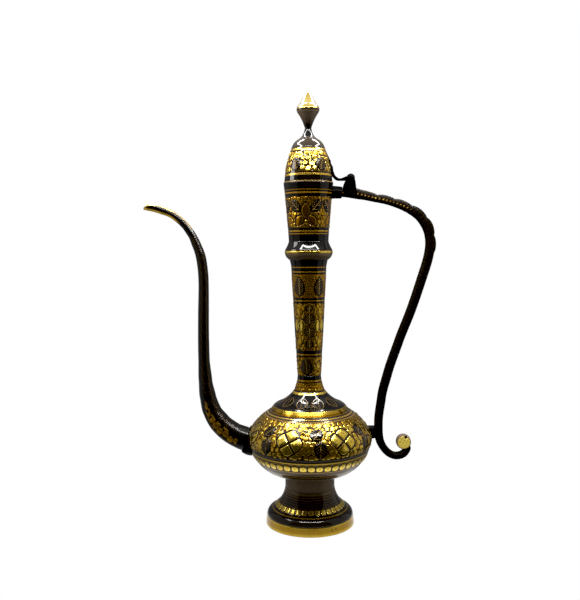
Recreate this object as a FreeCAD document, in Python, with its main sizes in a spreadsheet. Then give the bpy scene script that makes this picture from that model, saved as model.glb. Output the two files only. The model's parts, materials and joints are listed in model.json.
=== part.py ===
# Tall brass coffee pot with an S-shaped spout, a long cast handle and a hinged domed lid.
# Millimetres. The origin is the middle of the base, +Z is up, the spout points to -X and
# the handle to +X. The pot is the same on both sides of the XZ plane.

import FreeCAD, Part
import Sketcher
import math
import os

os.makedirs("parts", exist_ok=True)
doc = FreeCAD.newDocument("coffee_pot")

# Sizes.

driving_sizes = [
    ("foot_radius", 39.4, "outside of the foot where it stands"),
    ("foot_band", 8.0, "height of the plain band round the foot's edge"),
    ("foot_height", 45.0, "table to the underside of the bowl"),
    ("foot_wall", 2.0, "thickness of the spun foot"),
    ("stem_radius", 22.0, "stem between foot and bowl"),
    ("bowl_radius", 55.3, "widest radius of the bowl"),
    ("bowl_height", 56.6, "underside of the bowl to its upper edge"),
    ("shoulder_height", 31.4, "upper edge of the bowl to the neck tube"),
    ("neck_radius", 10.4, "neck tube at its thin end"),
    ("neck_top_radius", 16.7, "neck tube at its wide end"),
    ("neck_height", 101.4, "length of the neck tube"),
    ("ring_radius", 21.1, "widest radius of the ring above the neck"),
    ("ring_height", 16.1, "height of the ring"),
    ("mouth_foot_radius", 17.5, "mouth tube where it leaves the ring"),
    ("mouth_radius", 21.7, "rim the lid rests on"),
    ("mouth_height", 50.5, "ring to rim"),
    ("wall", 1.5, "thickness of the bowl, neck and spout"),
    ("lid_height", 39.9, "rim to the top of the dome"),
    ("lid_wall", 1.2, "thickness of the lid"),
    ("sleeve_depth", 4.5, "how far the lid's sleeve reaches into the mouth"),
    ("sleeve_gap", 1.0, "room round the sleeve so it can swing out"),
    ("finial_radius", 10.0, "widest radius of the knob"),
    ("finial_height", 39.1, "height of the knob above the dome"),
    ("stud_radius", 2.1, "threaded stud under the knob"),
    ("spout_radius", 11.6, "spout at its root"),
    ("spout_gap", 37.3, "bowl side to the upright length of the spout"),
    ("spout_drop", 17.0, "how far the top of the beak is below the rim"),
    ("grip_gap", 51.2, "bowl side to the farthest part of the grip"),
    ("grip_width", 8.4, "handle measured across the pot"),
    ("grip_radius", 4.15, "half thickness of the handle along its side"),
    ("post_width", 11.0, "width of the forked hinge post"),
    ("knuckle_width", 5.0, "width of the strap and its eye"),
    ("knuckle_radius", 3.1, "eye of the strap"),
    ("hinge_side_gap", 0.15, "gap between the eye and each fork cheek"),
    ("pin_radius", 1.5, "hinge pin"),
    ("pin_gap", 0.06, "running fit of the eye on its pin"),
    ("rivet_radius", 1.0, "rivets that hold the strap to the lid"),
    ("rivet_head", 0.8, "height of a rivet's head"),
    ("flange_height", 1.0, "thickness of the lid's edge ring"),
    ("finial_foot", 6.1, "foot of the knob"),
    ("stud_length", 7.0, "length of the stud under the knob"),
    ("washer_radius", 5.0, "washer inside the dome"),
    ("washer_height", 0.8, "thickness of the washer"),
    ("nut_radius", 4.0, "nut from its axis to a corner"),
    ("nut_height", 3.0, "thickness of the nut"),
    ("button_radius", 6.3, "round end of the handle's curl"),
]

derived_sizes = [
    ("bowl_floor", "foot_height", "underside of the bowl"),
    ("seam_height", "foot_height + 0.424 * bowl_height", "joint of the two bowl halves"),
    ("shoulder_floor", "foot_height + bowl_height", "upper edge of the bowl"),
    ("neck_floor", "shoulder_floor + shoulder_height", "start of the neck tube"),
    ("ring_floor", "neck_floor + neck_height", "start of the ring"),
    ("mouth_floor", "ring_floor + ring_height", "start of the mouth tube"),
    ("rim", "mouth_floor + mouth_height", "height of the rim"),
    ("flange_radius", "mouth_radius - 0.2", "edge of the lid"),
    ("dome_floor", "rim + flange_height", "start of the dome"),
    ("sleeve_radius", "mouth_radius - wall - sleeve_gap", "outside of the lid's sleeve"),
    ("lid_top", "rim + lid_height", "top of the dome"),
    ("pot_height", "lid_top + finial_height", "height over all"),
    ("spout_root", "foot_height + 0.495 * bowl_height", "middle of the spout's root"),
    ("spout_column", "bowl_radius + spout_gap", "axis to the upright length of the spout"),
    ("lip_height", "rim - spout_drop", "top of the beak"),
    ("grip_foot", "bowl_radius + 6.2", "axis to the lower end of the grip"),
    ("handle_reach", "bowl_radius + grip_gap", "axis to the farthest part of the grip"),
    ("lug_height", "foot_height + 0.62 * bowl_height", "middle of the lower bracket"),
    ("arm_height", "rim - 8.0", "middle of the arm at the mouth"),
    ("pin_x", "mouth_radius + 14.9", "hinge pin from the axis"),
    ("pin_z", "rim + 4.2", "hinge pin above the table"),
    ("fork_width", "knuckle_width + 2 * hinge_side_gap", "slot in the post"),
    ("lid_ceiling", "lid_top - lid_wall", "inside of the dome's flat top"),
    ("button_x", "grip_foot + 22.2", "middle of the curl's round end, from the axis"),
    ("button_z", "lug_height - 8.2", "middle of the curl's round end, above the table"),
]

sheet = doc.addObject("Spreadsheet::Sheet", "Sizes")


def write_size(row, name, text, note):
    sheet.set(f"A{row}", name)
    sheet.set(f"B{row}", text)
    sheet.set(f"C{row}", note)
    sheet.setAlias(f"B{row}", name)


for row, (name, value, note) in enumerate(driving_sizes, start=1):
    write_size(row, name, str(value), note)
for row, (name, formula, note) in enumerate(derived_sizes, start=len(driving_sizes) + 1):
    write_size(row, name, "=" + formula, note)
doc.recompute()

size_names = [entry[0] for entry in driving_sizes + derived_sizes]


def bound(text):
    """Write a formula in size names as a formula that reads the sheet."""
    words = []
    word = ""
    for letter in str(text) + " ":
        if letter.isalnum() or letter in "_.":
            word += letter
            continue
        words.append("Sizes." + word if word in size_names else word)
        words.append(letter)
        word = ""
    return "".join(words).strip()


def value_of(text):
    """Give the present value of a formula in size names."""
    return float(sheet.evalExpression(str(text)))


def between(start, end, share):
    """Formula of the place that lies the given share of the way from start to end."""
    return f"({start}) + {share} * (({end}) - ({start}))"


def on_arm(share):
    """Distance from the axis, as a share of the way from the mouth to the grip's widest part."""
    return between("mouth_radius", "handle_reach", share)


def on_grip(across, up):
    """Place on the grip, as shares of its width and of its height above the lower bracket."""
    return between("grip_foot", "handle_reach", across), between("lug_height", "arm_height", up)


# Drawing helpers.


def new_body(name):
    body = doc.addObject("PartDesign::Body", name)
    body.Label = name
    return body


def origin_plane(body, role):
    return next(item for item in body.Origin.OriginFeatures if item.Role == role)


def new_sketch(body, name, role="XZ_Plane"):
    sketch = body.newObject("Sketcher::SketchObject", f"{body.Name}_{name}")
    sketch.AttachmentSupport = [(origin_plane(body, role), "")]
    sketch.MapMode = "FlatFace"
    return sketch


def pin_down(sketch, direction, geometry, place, formula):
    """Hold one coordinate of a point at a formula."""
    if str(formula) == "0" and direction == "DistanceX":
        sketch.addConstraint(Sketcher.Constraint("PointOnObject", geometry, place, -2))
        return
    if str(formula) == "0":
        sketch.addConstraint(Sketcher.Constraint("PointOnObject", geometry, place, -1))
        return
    constraint = Sketcher.Constraint(direction, -1, 1, geometry, place, value_of(formula))
    index = sketch.addConstraint(constraint)
    sketch.setExpression(f"Constraints[{index}]", bound(formula))


def arc_between(start, end, turn):
    """Arc from start to end that turns left by the given angle (right if negative)."""
    chord = end.sub(start)
    radius = chord.Length / (2 * math.sin(math.radians(abs(turn)) / 2))
    rise = math.sqrt(max(radius ** 2 - (chord.Length / 2) ** 2, 0.0))
    side = 1 if turn > 0 else -1
    left = FreeCAD.Vector(-chord.y, chord.x, 0).normalize()
    centre = (start + end) * 0.5 + left * rise * side
    circle = Part.Circle(centre, FreeCAD.Vector(0, 0, 1), radius)
    first = math.atan2(start.y - centre.y, start.x - centre.x)
    last = math.atan2(end.y - centre.y, end.x - centre.x)
    if turn < 0:
        first, last = last, first
    return Part.ArcOfCircle(circle, first, last)


def draw_outline(sketch, points):
    """Draw a closed outline. Each point is (across, up, turn): two formulas and the turn
    in degrees of the side that leaves the point, 0 for a straight side."""
    places = [FreeCAD.Vector(value_of(x), value_of(z), 0) for x, z, turn in points]
    count = len(points)
    ends = []
    for index, (x, z, turn) in enumerate(points):
        start = places[index]
        end = places[(index + 1) % count]
        if turn == 0:
            geometry = sketch.addGeometry(Part.LineSegment(start, end), False)
            ends.append((geometry, 1, 2))
            continue
        geometry = sketch.addGeometry(arc_between(start, end, turn), False)
        ends.append((geometry, 1, 2) if turn > 0 else (geometry, 2, 1))
    for index in range(count):
        this_side = ends[index]
        next_side = ends[(index + 1) % count]
        sketch.addConstraint(Sketcher.Constraint(
            "Coincident", this_side[0], this_side[2], next_side[0], next_side[1]))
    for index, (x, z, turn) in enumerate(points):
        geometry, first, last = ends[index]
        pin_down(sketch, "DistanceX", geometry, first, x)
        pin_down(sketch, "DistanceY", geometry, first, z)
        if turn == 0:
            continue
        next_x, next_z = points[(index + 1) % count][:2]
        reach = 2 * math.sin(math.radians(abs(turn)) / 2)
        radius = f"hypot(({next_x}) - ({x}); ({next_z}) - ({z})) / {reach:.6f}"
        constraint = Sketcher.Constraint("Radius", geometry, value_of(radius))
        index_added = sketch.addConstraint(constraint)
        sketch.setExpression(f"Constraints[{index_added}]", bound(radius))


def inner_point(x, z, lean, wall, is_end):
    """Point on the inside of a sheet, one wall behind an outside point whose face leans
    upward by the given angle. Ends are finished level, or upright on the axis."""
    across = math.cos(math.radians(lean))
    upward = math.sin(math.radians(lean))
    if is_end and abs(lean) < 80:
        return f"({x}) - {wall} / {across:.4f}", z
    if is_end:
        return x, f"({z}) - {wall} * {round(upward)}"
    return f"({x}) - {wall} * {across:.4f}", f"({z}) - {wall} * {upward:.4f}"


def sheet_outline(outside, wall):
    """Close an outside line into the outline of a sheet of even thickness.
    Each outside point is (across, up, lean, turn)."""
    last = len(outside) - 1
    points = []
    for index, (x, z, lean, turn) in enumerate(outside):
        points.append((x, z, turn if index < last else 0))
    for index in range(last, -1, -1):
        x, z, lean, turn = outside[index]
        inside_x, inside_z = inner_point(x, z, lean, wall, index in (0, last))
        turn_back = -outside[index - 1][3] if index > 0 else 0
        points.append((inside_x, inside_z, turn_back))
    return points


def revolve(body, name, points, cut=False):
    """Turn an outline about the body's own upright axis, as material or as a cut."""
    sketch = new_sketch(body, name)
    draw_outline(sketch, points)
    kind = "PartDesign::Groove" if cut else "PartDesign::Revolution"
    turned = body.newObject(kind, f"{body.Name}_{name}_turned")
    turned.Profile = sketch
    turned.ReferenceAxis = (sketch, ["V_Axis"])
    turned.Angle = 360
    sketch.Visibility = False
    doc.recompute()


def spun_sheet(name, outside, wall="wall"):
    body = new_body(name)
    revolve(body, "outline", sheet_outline(outside, wall))
    return body


def draw_circle(sketch, x, z, radius):
    centre = FreeCAD.Vector(value_of(x), value_of(z), 0)
    circle = Part.Circle(centre, FreeCAD.Vector(0, 0, 1), value_of(radius))
    geometry = sketch.addGeometry(circle, False)
    pin_down(sketch, "DistanceX", geometry, 3, x)
    pin_down(sketch, "DistanceY", geometry, 3, z)
    index = sketch.addConstraint(Sketcher.Constraint("Radius", geometry, value_of(radius)))
    sketch.setExpression(f"Constraints[{index}]", bound(radius))


def give_width(body, sketch, width, cut=False):
    """Pad a sketch, or cut with it, half of the width on each side of its plane."""
    kind = "PartDesign::Pocket" if cut else "PartDesign::Pad"
    made = body.newObject(kind, f"{sketch.Name}_width")
    made.Profile = sketch
    made.SideType = "Symmetric"
    made.Type = "Length"
    made.setExpression("Length", bound(width))
    sketch.Visibility = False
    doc.recompute()


def slab(body, name, points, width, cut=False):
    """Give an outline in the XZ plane a width across the pot."""
    sketch = new_sketch(body, name)
    draw_outline(sketch, points)
    give_width(body, sketch, width, cut)


def disc(body, name, x, z, radius, width, cut=False):
    """Round boss, or round hole, that runs across the pot at (x, z)."""
    sketch = new_sketch(body, name)
    draw_circle(sketch, x, z, radius)
    give_width(body, sketch, width, cut)


def cross_section(body, name, x, z, heading, thick, wide):
    """Oval section square to a centre line that passes (x, z) with the given heading.
    Heading 0 runs to +X and 90 runs up. thick and wide are half sizes."""
    sketch = new_sketch(body, name, "XY_Plane")
    tilt = 90 - heading
    turn = FreeCAD.Rotation(FreeCAD.Vector(0, 1, 0), tilt)
    base = FreeCAD.Vector(value_of(x), 0, value_of(z))
    sketch.AttachmentOffset = FreeCAD.Placement(base, turn)
    sketch.setExpression("AttachmentOffset.Base.x", bound(x))
    sketch.setExpression("AttachmentOffset.Base.z", bound(z))
    if str(thick) == str(wide):
        draw_circle(sketch, "0", "0", thick)
        return sketch
    half_thick = value_of(thick)
    half_wide = value_of(wide)
    corner = 0.45 * min(half_thick, half_wide)
    draw_rounded_box(sketch, half_thick, half_wide, corner)
    return sketch


def draw_rounded_box(sketch, half_x, half_y, corner):
    """Rounded box of eight sides about the sketch's origin."""
    edge_x = half_x - corner
    edge_y = half_y - corner
    places = [
        (half_x, -edge_y), (half_x, edge_y), (edge_x, half_y), (-edge_x, half_y),
        (-half_x, edge_y), (-half_x, -edge_y), (-edge_x, -half_y), (edge_x, -half_y)]
    draw_outline(sketch, [
        (x, y, 90 if index % 2 else 0) for index, (x, y) in enumerate(places)])


def loft(body, name, stations, cut=False):
    """Skin a row of cross sections."""
    sections = []
    for index, station in enumerate(stations):
        sections.append(cross_section(body, f"{name}_{index}", *station))
    doc.recompute()
    kind = "PartDesign::SubtractiveLoft" if cut else "PartDesign::AdditiveLoft"
    skin = body.newObject(kind, f"{body.Name}_{name}_skin")
    skin.Profile = sections[0]
    skin.Sections = sections[1:]
    skin.Ruled = False
    for sketch in sections:
        sketch.Visibility = False
    doc.recompute()


# Shared outlines.

bowl_lower_side = [
    ("0", "bowl_floor", -90, 0),
    ("stem_radius", "bowl_floor", -87, 0),
    ("0.635 * bowl_radius", "bowl_floor + 0.041 * bowl_height", -70, 48),
    ("0.966 * bowl_radius", "seam_height", 0, 0),
]

bowl_upper_side = [
    ("0.966 * bowl_radius", "seam_height", 0, 47),
    ("0.976 * bowl_radius", "bowl_floor + 0.67 * bowl_height", 27, 26),
    ("0.638 * bowl_radius", "shoulder_floor", 56, 0),
]

mouth_side = [
    ("mouth_foot_radius", "mouth_floor", -4, -4),
    ("mouth_radius", "rim", -6, 0),
]

dome_side = [
    ("mouth_radius - 0.7", "dome_floor", 3, 18),
    ("0.677 * mouth_radius", "rim + 0.752 * lid_height", 18, 40),
    ("0.438 * mouth_radius", "rim + 0.937 * lid_height", 58, -25),
    ("finial_foot", "lid_top", 72, 0),
    ("stud_radius + 0.1", "lid_top", 90, 0),
]


def filled(side):
    """Close a side line onto the axis, as a solid plug of the same outside shape."""
    points = [(x, z, turn) for x, z, lean, turn in side]
    bottom = points[0][1]
    top = points[-1][1]
    points[-1] = (points[-1][0], top, 0)
    points.append(("0", top, 0))
    if points[0][0] != "0":
        points.append(("0", bottom, 0))
    return points


def bowl_plug():
    """Outside shape of the whole bowl, closed onto the axis."""
    lower = [(x, z, turn) for x, z, lean, turn in bowl_lower_side[:-1]]
    upper = [(x, z, turn) for x, z, lean, turn in bowl_upper_side]
    return lower + upper + [("0", "shoulder_floor", 0)]


# Centre line of the spout, from inside the bowl to past the beak.
# Each station is (x, z, heading, half thickness).
spout_line = [
    ("-(bowl_radius - 7.0)", "spout_root - 0.2", 166, "spout_radius - 0.4"),
    ("-(bowl_radius + 2.5)", "spout_root + 2.5", 158, "spout_radius - 1.0"),
    ("-(bowl_radius + 13.5)", "spout_root + 7.6", 147, "spout_radius - 1.6"),
    ("-(bowl_radius + 24.8)", "spout_root + 17.4", 128, "spout_radius - 2.2"),
    ("-(spout_column - 5.6)", "spout_root + 28.5", 112, "spout_radius - 3.4"),
    ("-(spout_column - 2.2)", "spout_root + 41.0", 101, "spout_radius - 4.4"),
    ("-(spout_column - 0.3)", "spout_root + 55.5", 94, "spout_radius - 5.6"),
    ("-(spout_column + 0.7)", "spout_root + 75.0", 91, "spout_radius - 6.6"),
    ("-(spout_column + 0.6)", "lip_height - 100.0", 89, "spout_radius - 6.8"),
    ("-spout_column", "lip_height - 70.0", 90, "spout_radius - 7.1"),
    ("-(spout_column + 1.6)", "lip_height - 49.0", 99, "spout_radius - 7.2"),
    ("-(spout_column + 5.6)", "lip_height - 36.0", 113, "spout_radius - 7.6"),
    ("-(spout_column + 10.0)", "lip_height - 26.5", 123, "spout_radius - 8.1"),
    ("-(spout_column + 16.8)", "lip_height - 17.3", 134, "spout_radius - 8.3"),
    ("-(spout_column + 26.2)", "lip_height - 9.5", 146, "spout_radius - 8.3"),
    ("-(spout_column + 37.5)", "lip_height - 4.6", 160, "spout_radius - 7.9"),
    ("-(spout_column + 52.5)", "lip_height - 0.9", 169, "spout_radius - 8.0"),
]

# Centre line of the handle, from the mouth along the arm, down the grip and round the curl.
# Each station is (x, z, heading, half thickness change).
handle_line = [
    ("mouth_radius - 3.2", "arm_height + 0.1", -2, -0.7),
    ("mouth_radius + 8.0", "arm_height - 0.2", -3, -0.3),
    (on_arm(0.236), "arm_height - 1.2", -10, 0.3),
    (on_arm(0.366), "arm_height - 4.0", -13, -0.6),
    (on_arm(0.543), "arm_height - 7.2", -14, -0.7),
    (on_arm(0.708), "arm_height - 11.8", -23, -0.4),
    ("handle_reach - 12.0", "arm_height - 18.8", -37, 0.0),
    ("handle_reach - 4.4", "arm_height - 27.4", -58, 0.4),
    ("handle_reach - 0.6", "arm_height - 38.0", -80, 0.1),
    (*on_grip(0.995, 0.775), -95, 0.0),
    (*on_grip(0.893, 0.681), -108, 0.0),
    (*on_grip(0.633, 0.516), -110, -0.1),
    (*on_grip(0.390, 0.384), -109, -0.2),
    (*on_grip(0.176, 0.250), -105, -0.2),
    (*on_grip(0.058, 0.150), -97, -0.3),
    ("grip_foot - 0.1", "lug_height + 10.0", -91, -0.4),
    ("grip_foot + 0.4", "lug_height - 3.4", -83, -0.5),
    ("grip_foot + 4.9", "lug_height - 14.2", -54, -0.9),
    ("grip_foot + 13.4", "lug_height - 20.7", -16, -1.3),
    ("grip_foot + 21.8", "lug_height - 19.4", 32, -1.4),
    ("grip_foot + 26.2", "lug_height - 13.4", 72, -1.5),
]


def spout_outside():
    return [(x, z, heading, size, size) for x, z, heading, size in spout_line]


def spout_inside():
    return [(x, z, heading, f"{size} - wall", f"{size} - wall")
            for x, z, heading, size in spout_line]


def handle_sections():
    stations = []
    for x, z, heading, change in handle_line:
        thick = f"grip_radius + {change}" if change >= 0 else f"grip_radius - {-change}"
        stations.append((x, z, heading, thick, "0.5 * grip_width"))
    return stations


# The pot.


def make_foot():
    return spun_sheet("foot", [
        ("foot_radius", "0", 0, 0),
        ("foot_radius - 0.8", "foot_band", 5, 63),
        ("foot_radius - 5.4", "foot_band + 5.8", 58, -52),
        ("stem_radius", "0.733 * foot_height", 6, 0),
        ("stem_radius", "foot_height", 0, 0),
    ], "foot_wall")


def pierce_for_spout(body):
    """Hole through the side of the bowl into the spout."""
    loft(body, "spout_hole", spout_inside()[:3], cut=True)


def make_lower_bowl():
    body = spun_sheet("lower_bowl", bowl_lower_side)
    pierce_for_spout(body)
    return body


def make_upper_bowl():
    body = spun_sheet("upper_bowl", bowl_upper_side)
    pierce_for_spout(body)
    return body


def make_shoulder_cap():
    return spun_sheet("shoulder_cap", [
        ("0.633 * bowl_radius", "shoulder_floor", 36, 0),
        ("0.575 * bowl_radius", "shoulder_floor + 0.14 * shoulder_height", 45, 0),
        ("0.539 * bowl_radius", "shoulder_floor + 0.185 * shoulder_height", 66, -35),
        ("neck_radius + 2.9", "shoulder_floor + 0.583 * shoulder_height", 30, -22),
        ("neck_radius", "neck_floor", 2, 0),
    ])


def make_neck_tube():
    return spun_sheet("neck_tube", [
        ("neck_radius", "neck_floor", -2, 0),
        ("neck_top_radius - 1.1", "neck_floor + 0.95 * neck_height", -4, 0),
        ("neck_top_radius", "ring_floor", -6, 0),
    ])


def make_neck_ring():
    body = new_body("neck_ring")
    revolve(body, "outline", [
        ("neck_top_radius", "ring_floor", 62),
        ("ring_radius", "ring_floor + 0.44 * ring_height", 20),
        ("ring_radius - 0.5", "ring_floor + 0.58 * ring_height", -12),
        ("mouth_foot_radius", "mouth_floor", 0),
        ("mouth_foot_radius - wall", "mouth_floor", 0),
        ("neck_top_radius - wall", "ring_floor", 0),
    ])
    return body


def make_mouth_tube():
    return spun_sheet("mouth_tube", mouth_side)


def cut_beak(body):
    """Trim the end of the spout to a long open beak with a rounded tip."""
    slab(body, "beak", [
        ("-(spout_column + 25.5)", "lip_height - 6.2", -5),
        ("-(spout_column + 38.0)", "lip_height - 0.6", -17),
        ("-(spout_column + 45.5)", "lip_height - 0.1", -42),
        ("-(spout_column + 51.2)", "lip_height - 3.8", 0),
        ("-(spout_column + 51.2)", "lip_height - 12.0", 0),
        ("-(spout_column + 62.0)", "lip_height - 12.0", 0),
        ("-(spout_column + 62.0)", "lip_height + 12.0", 0),
        ("-(spout_column + 25.5)", "lip_height + 12.0", 0),
    ], "40", cut=True)


def make_spout():
    body = new_body("spout")
    loft(body, "outside", spout_outside())
    loft(body, "inside", spout_inside(), cut=True)
    revolve(body, "bowl_side", bowl_plug(), cut=True)
    cut_beak(body)
    return body


def make_spout_flange():
    """Collar round the root of the spout, shaped to the bowl."""
    body = new_body("spout_flange")
    wide = "spout_radius + 1.3"
    narrow = "spout_radius + 0.5"
    loft(body, "collar", [
        ("-(bowl_radius - 7.0)", "spout_root - 0.2", 166, wide, wide),
        ("-(bowl_radius - 0.5)", "spout_root + 1.6", 163, wide, wide),
        ("-(bowl_radius + 1.6)", "spout_root + 2.3", 160, narrow, narrow),
    ])
    loft(body, "spout", spout_outside(), cut=True)
    revolve(body, "bowl_side", bowl_plug(), cut=True)
    return body


def make_handle():
    """Cast handle. The curl ends in a thick round button, ground flat on both sides."""
    body = new_body("handle")
    loft(body, "outside", handle_sections())
    disc(body, "button", "button_x", "button_z", "button_radius", "grip_width + 0.8")
    revolve(body, "mouth_side", filled(mouth_side), cut=True)
    return body


def make_handle_ferrule():
    """Plain socket between the mouth and the arm."""
    body = new_body("handle_ferrule")
    loft(body, "socket", [
        ("mouth_radius - 3.2", "arm_height + 0.2", -1, "grip_radius + 1.7", "grip_radius + 1.7"),
        ("mouth_radius + 2.0", "arm_height + 0.1", -2, "grip_radius + 1.3", "grip_radius + 1.3"),
        ("mouth_radius + 7.5", "arm_height - 0.2", -3, "grip_radius + 1.0", "grip_radius + 1.0"),
    ])
    loft(body, "arm", handle_sections(), cut=True)
    revolve(body, "mouth_side", filled(mouth_side), cut=True)
    return body


def make_handle_lug():
    """Bracket between the bowl and the lower end of the grip."""
    body = new_body("handle_lug")
    slab(body, "web", [
        ("bowl_radius - 6.0", "lug_height + 3.0", 0),
        ("bowl_radius - 6.0", "lug_height - 6.0", 0),
        ("grip_foot - 1.6", "lug_height - 4.2", 40),
        ("grip_foot + 0.8", "lug_height + 3.0", 0),
    ], "0.7 * grip_width")
    slab(body, "bar", [
        ("bowl_radius - 8.0", "lug_height + 5.3", 0),
        ("bowl_radius - 8.0", "lug_height + 2.7", 0),
        ("grip_foot + 1.1", "lug_height + 2.7", 0),
        ("grip_foot + 1.1", "lug_height + 5.3", 0),
    ], "grip_width + 3.0")
    loft(body, "grip", handle_sections(), cut=True)
    revolve(body, "bowl_side", bowl_plug(), cut=True)
    return body


def make_hinge_post():
    """Forked post on the arm that carries the lid's pin."""
    body = new_body("hinge_post")
    slab(body, "cheeks", [
        ("pin_x - 6.6", "arm_height - 1.0", 0),
        ("pin_x + 5.6", "arm_height - 1.0", 0),
        ("pin_x + 4.6", "arm_height + 5.0", 0),
        ("pin_x + 3.8", "pin_z - 1.4", 0),
        ("pin_x - 3.8", "pin_z - 1.4", 24),
        ("pin_x - 6.6", "arm_height + 3.4", 0),
    ], "post_width")
    disc(body, "head", "pin_x", "pin_z", "knuckle_radius + 0.5", "post_width")
    slab(body, "fork", [
        ("pin_x - 9.0", "pin_z - knuckle_radius - 0.7", 0),
        ("pin_x + 9.0", "pin_z - knuckle_radius - 0.7", 0),
        ("pin_x + 9.0", "pin_z + 9.0", 0),
        ("pin_x - 9.0", "pin_z + 9.0", 0),
    ], "fork_width", cut=True)
    disc(body, "pin_hole", "pin_x", "pin_z", "pin_radius", "2 * post_width", cut=True)
    loft(body, "arm", handle_sections(), cut=True)
    return body


def make_hinge_pin():
    """Pin with two low heads, drawn upright and laid across the pot."""
    body = new_body("hinge_pin")
    half = "0.5 * post_width"
    revolve(body, "outline", [
        ("0", f"-({half} + 0.9)", 0),
        ("pin_radius", f"-({half} + 0.9)", 45),
        ("pin_radius + 0.9", f"-({half})", 0),
        ("pin_radius", f"-({half})", 0),
        ("pin_radius", half, 0),
        ("pin_radius + 0.9", half, 45),
        ("pin_radius", f"{half} + 0.9", 0),
        ("0", f"{half} + 0.9", 0),
    ])
    lay_across(body, "pin_x", "pin_z")
    return body


def lay_across(body, x, z):
    turn = FreeCAD.Rotation(FreeCAD.Vector(1, 0, 0), 90)
    body.Placement = FreeCAD.Placement(FreeCAD.Vector(value_of(x), 0, value_of(z)), turn)
    body.setExpression("Placement.Base.x", bound(x))
    body.setExpression("Placement.Base.z", bound(z))


# The lid.


def make_lid_sleeve():
    """Edge ring of the lid with a sleeve that centres it in the mouth."""
    body = new_body("lid_sleeve")
    revolve(body, "outline", [
        ("sleeve_radius - lid_wall", "rim - sleeve_depth", 0),
        ("sleeve_radius", "rim - sleeve_depth", 0),
        ("sleeve_radius", "rim", 0),
        ("flange_radius", "rim", 0),
        ("flange_radius", "dome_floor", 0),
        ("sleeve_radius - lid_wall", "dome_floor", 0),
    ])
    return body


# The leaf of the strap lies on the dome between two shares of the lid's height. Its outer
# face is flat and leans inward by leaf_taper over that height.
leaf_foot = 0.27
leaf_tip = 0.57
leaf_taper = 4.3
leaf_lean = math.degrees(math.atan2(leaf_taper, (leaf_tip - leaf_foot) * value_of("lid_height")))

rivet_shares = [("lower", 0.355), ("upper", 0.485)]
rivet_length = 4.6


def leaf_face(share):
    """Point on the outer face of the leaf at a share of the lid's height."""
    inward = leaf_taper * (share - leaf_foot) / (leaf_tip - leaf_foot)
    return f"mouth_radius + 0.1 - {inward:.4f}", f"rim + {share} * lid_height"


def drill_for_rivets(body):
    """Two round holes square to the leaf, through the leaf and the dome."""
    for name, share in rivet_shares:
        x, z = leaf_face(share)
        sketch = cross_section(
            body, f"rivet_{name}", x, z, leaf_lean, "rivet_radius", "rivet_radius")
        give_width(body, sketch, 4 * rivet_length, cut=True)


def make_lid_dome():
    body = spun_sheet("lid_dome", dome_side, "lid_wall")
    drill_for_rivets(body)
    return body


def make_finial():
    """Turned knob with a stud that passes through the dome."""
    body = new_body("finial")
    revolve(body, "outline", [
        ("0", "lid_top - stud_length", 0),
        ("stud_radius", "lid_top - stud_length", 0),
        ("stud_radius", "lid_top", 0),
        ("finial_foot", "lid_top", -38),
        ("0.3 * finial_radius", "lid_top + 0.197 * finial_height", -18),
        ("0.91 * finial_radius", "lid_top + 0.524 * finial_height", 40),
        ("finial_radius", "lid_top + 0.616 * finial_height", 35),
        ("0.76 * finial_radius", "lid_top + 0.714 * finial_height", -8),
        ("0.42 * finial_radius", "lid_top + 0.87 * finial_height", 20),
        ("0.04 * finial_radius", "lid_top + finial_height", 0),
        ("0", "lid_top + finial_height", 0),
    ])
    return body


def make_finial_washer():
    body = new_body("finial_washer")
    revolve(body, "outline", [
        ("stud_radius", "lid_ceiling - washer_height", 0),
        ("washer_radius", "lid_ceiling - washer_height", 0),
        ("washer_radius", "lid_ceiling", 0),
        ("stud_radius", "lid_ceiling", 0),
    ])
    return body


def make_finial_nut():
    """Six-sided nut on the stud."""
    body = new_body("finial_nut")
    sketch = new_sketch(body, "outline", "XY_Plane")
    floor = "lid_ceiling - washer_height - nut_height"
    sketch.setExpression("AttachmentOffset.Base.z", bound(floor))
    corners = []
    for step in range(6):
        angle = math.radians(60 * step)
        across = f"{math.cos(angle):.4f} * nut_radius"
        along = f"{math.sin(angle):.4f} * nut_radius" if step % 3 else "0"
        corners.append((across, along, 0))
    draw_outline(sketch, corners)
    draw_circle(sketch, "0", "0", "stud_radius")
    nut = body.newObject("PartDesign::Pad", "finial_nut_pad")
    nut.Profile = sketch
    nut.setExpression("Length", bound("nut_height"))
    sketch.Visibility = False
    doc.recompute()
    return body


def make_hinge_strap():
    """Strap from the side of the dome to the eye on the hinge pin."""
    body = new_body("hinge_strap")
    slab(body, "strap", [
        ("mouth_radius - 7.0", "rim + 0.56 * lid_height", 0),
        ("mouth_radius - 7.0", "rim + 6.0", 0),
        ("mouth_radius - 1.0", "rim + 6.0", 0),
        ("mouth_radius + 1.6", "rim + 3.2", 42),
        ("mouth_radius + 5.8", "rim + 2.1", 10),
        ("pin_x - 2.0", "pin_z - 1.9", 0),
        ("pin_x - 2.0", "pin_z + 2.0", 0),
        ("pin_x - 4.4", "pin_z + 1.4", -12),
        ("mouth_radius + 5.8", "rim + 3.9", -70),
        ("mouth_radius + 0.6", "rim + 9.2", -2),
    ], "knuckle_width")
    slab(body, "leaf", [
        ("mouth_radius - 8.0", leaf_face(leaf_foot)[1], 0),
        (*leaf_face(leaf_foot), 0),
        (*leaf_face(leaf_tip), 0),
        ("mouth_radius - 8.0", leaf_face(leaf_tip)[1], 0),
    ], "2 * knuckle_width")
    disc(body, "eye", "pin_x", "pin_z", "knuckle_radius", "knuckle_width")
    disc(body, "eye_hole", "pin_x", "pin_z", "pin_radius + pin_gap", "2 * knuckle_width", cut=True)
    revolve(body, "dome_side", filled(dome_side), cut=True)
    drill_for_rivets(body)
    return body


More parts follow.
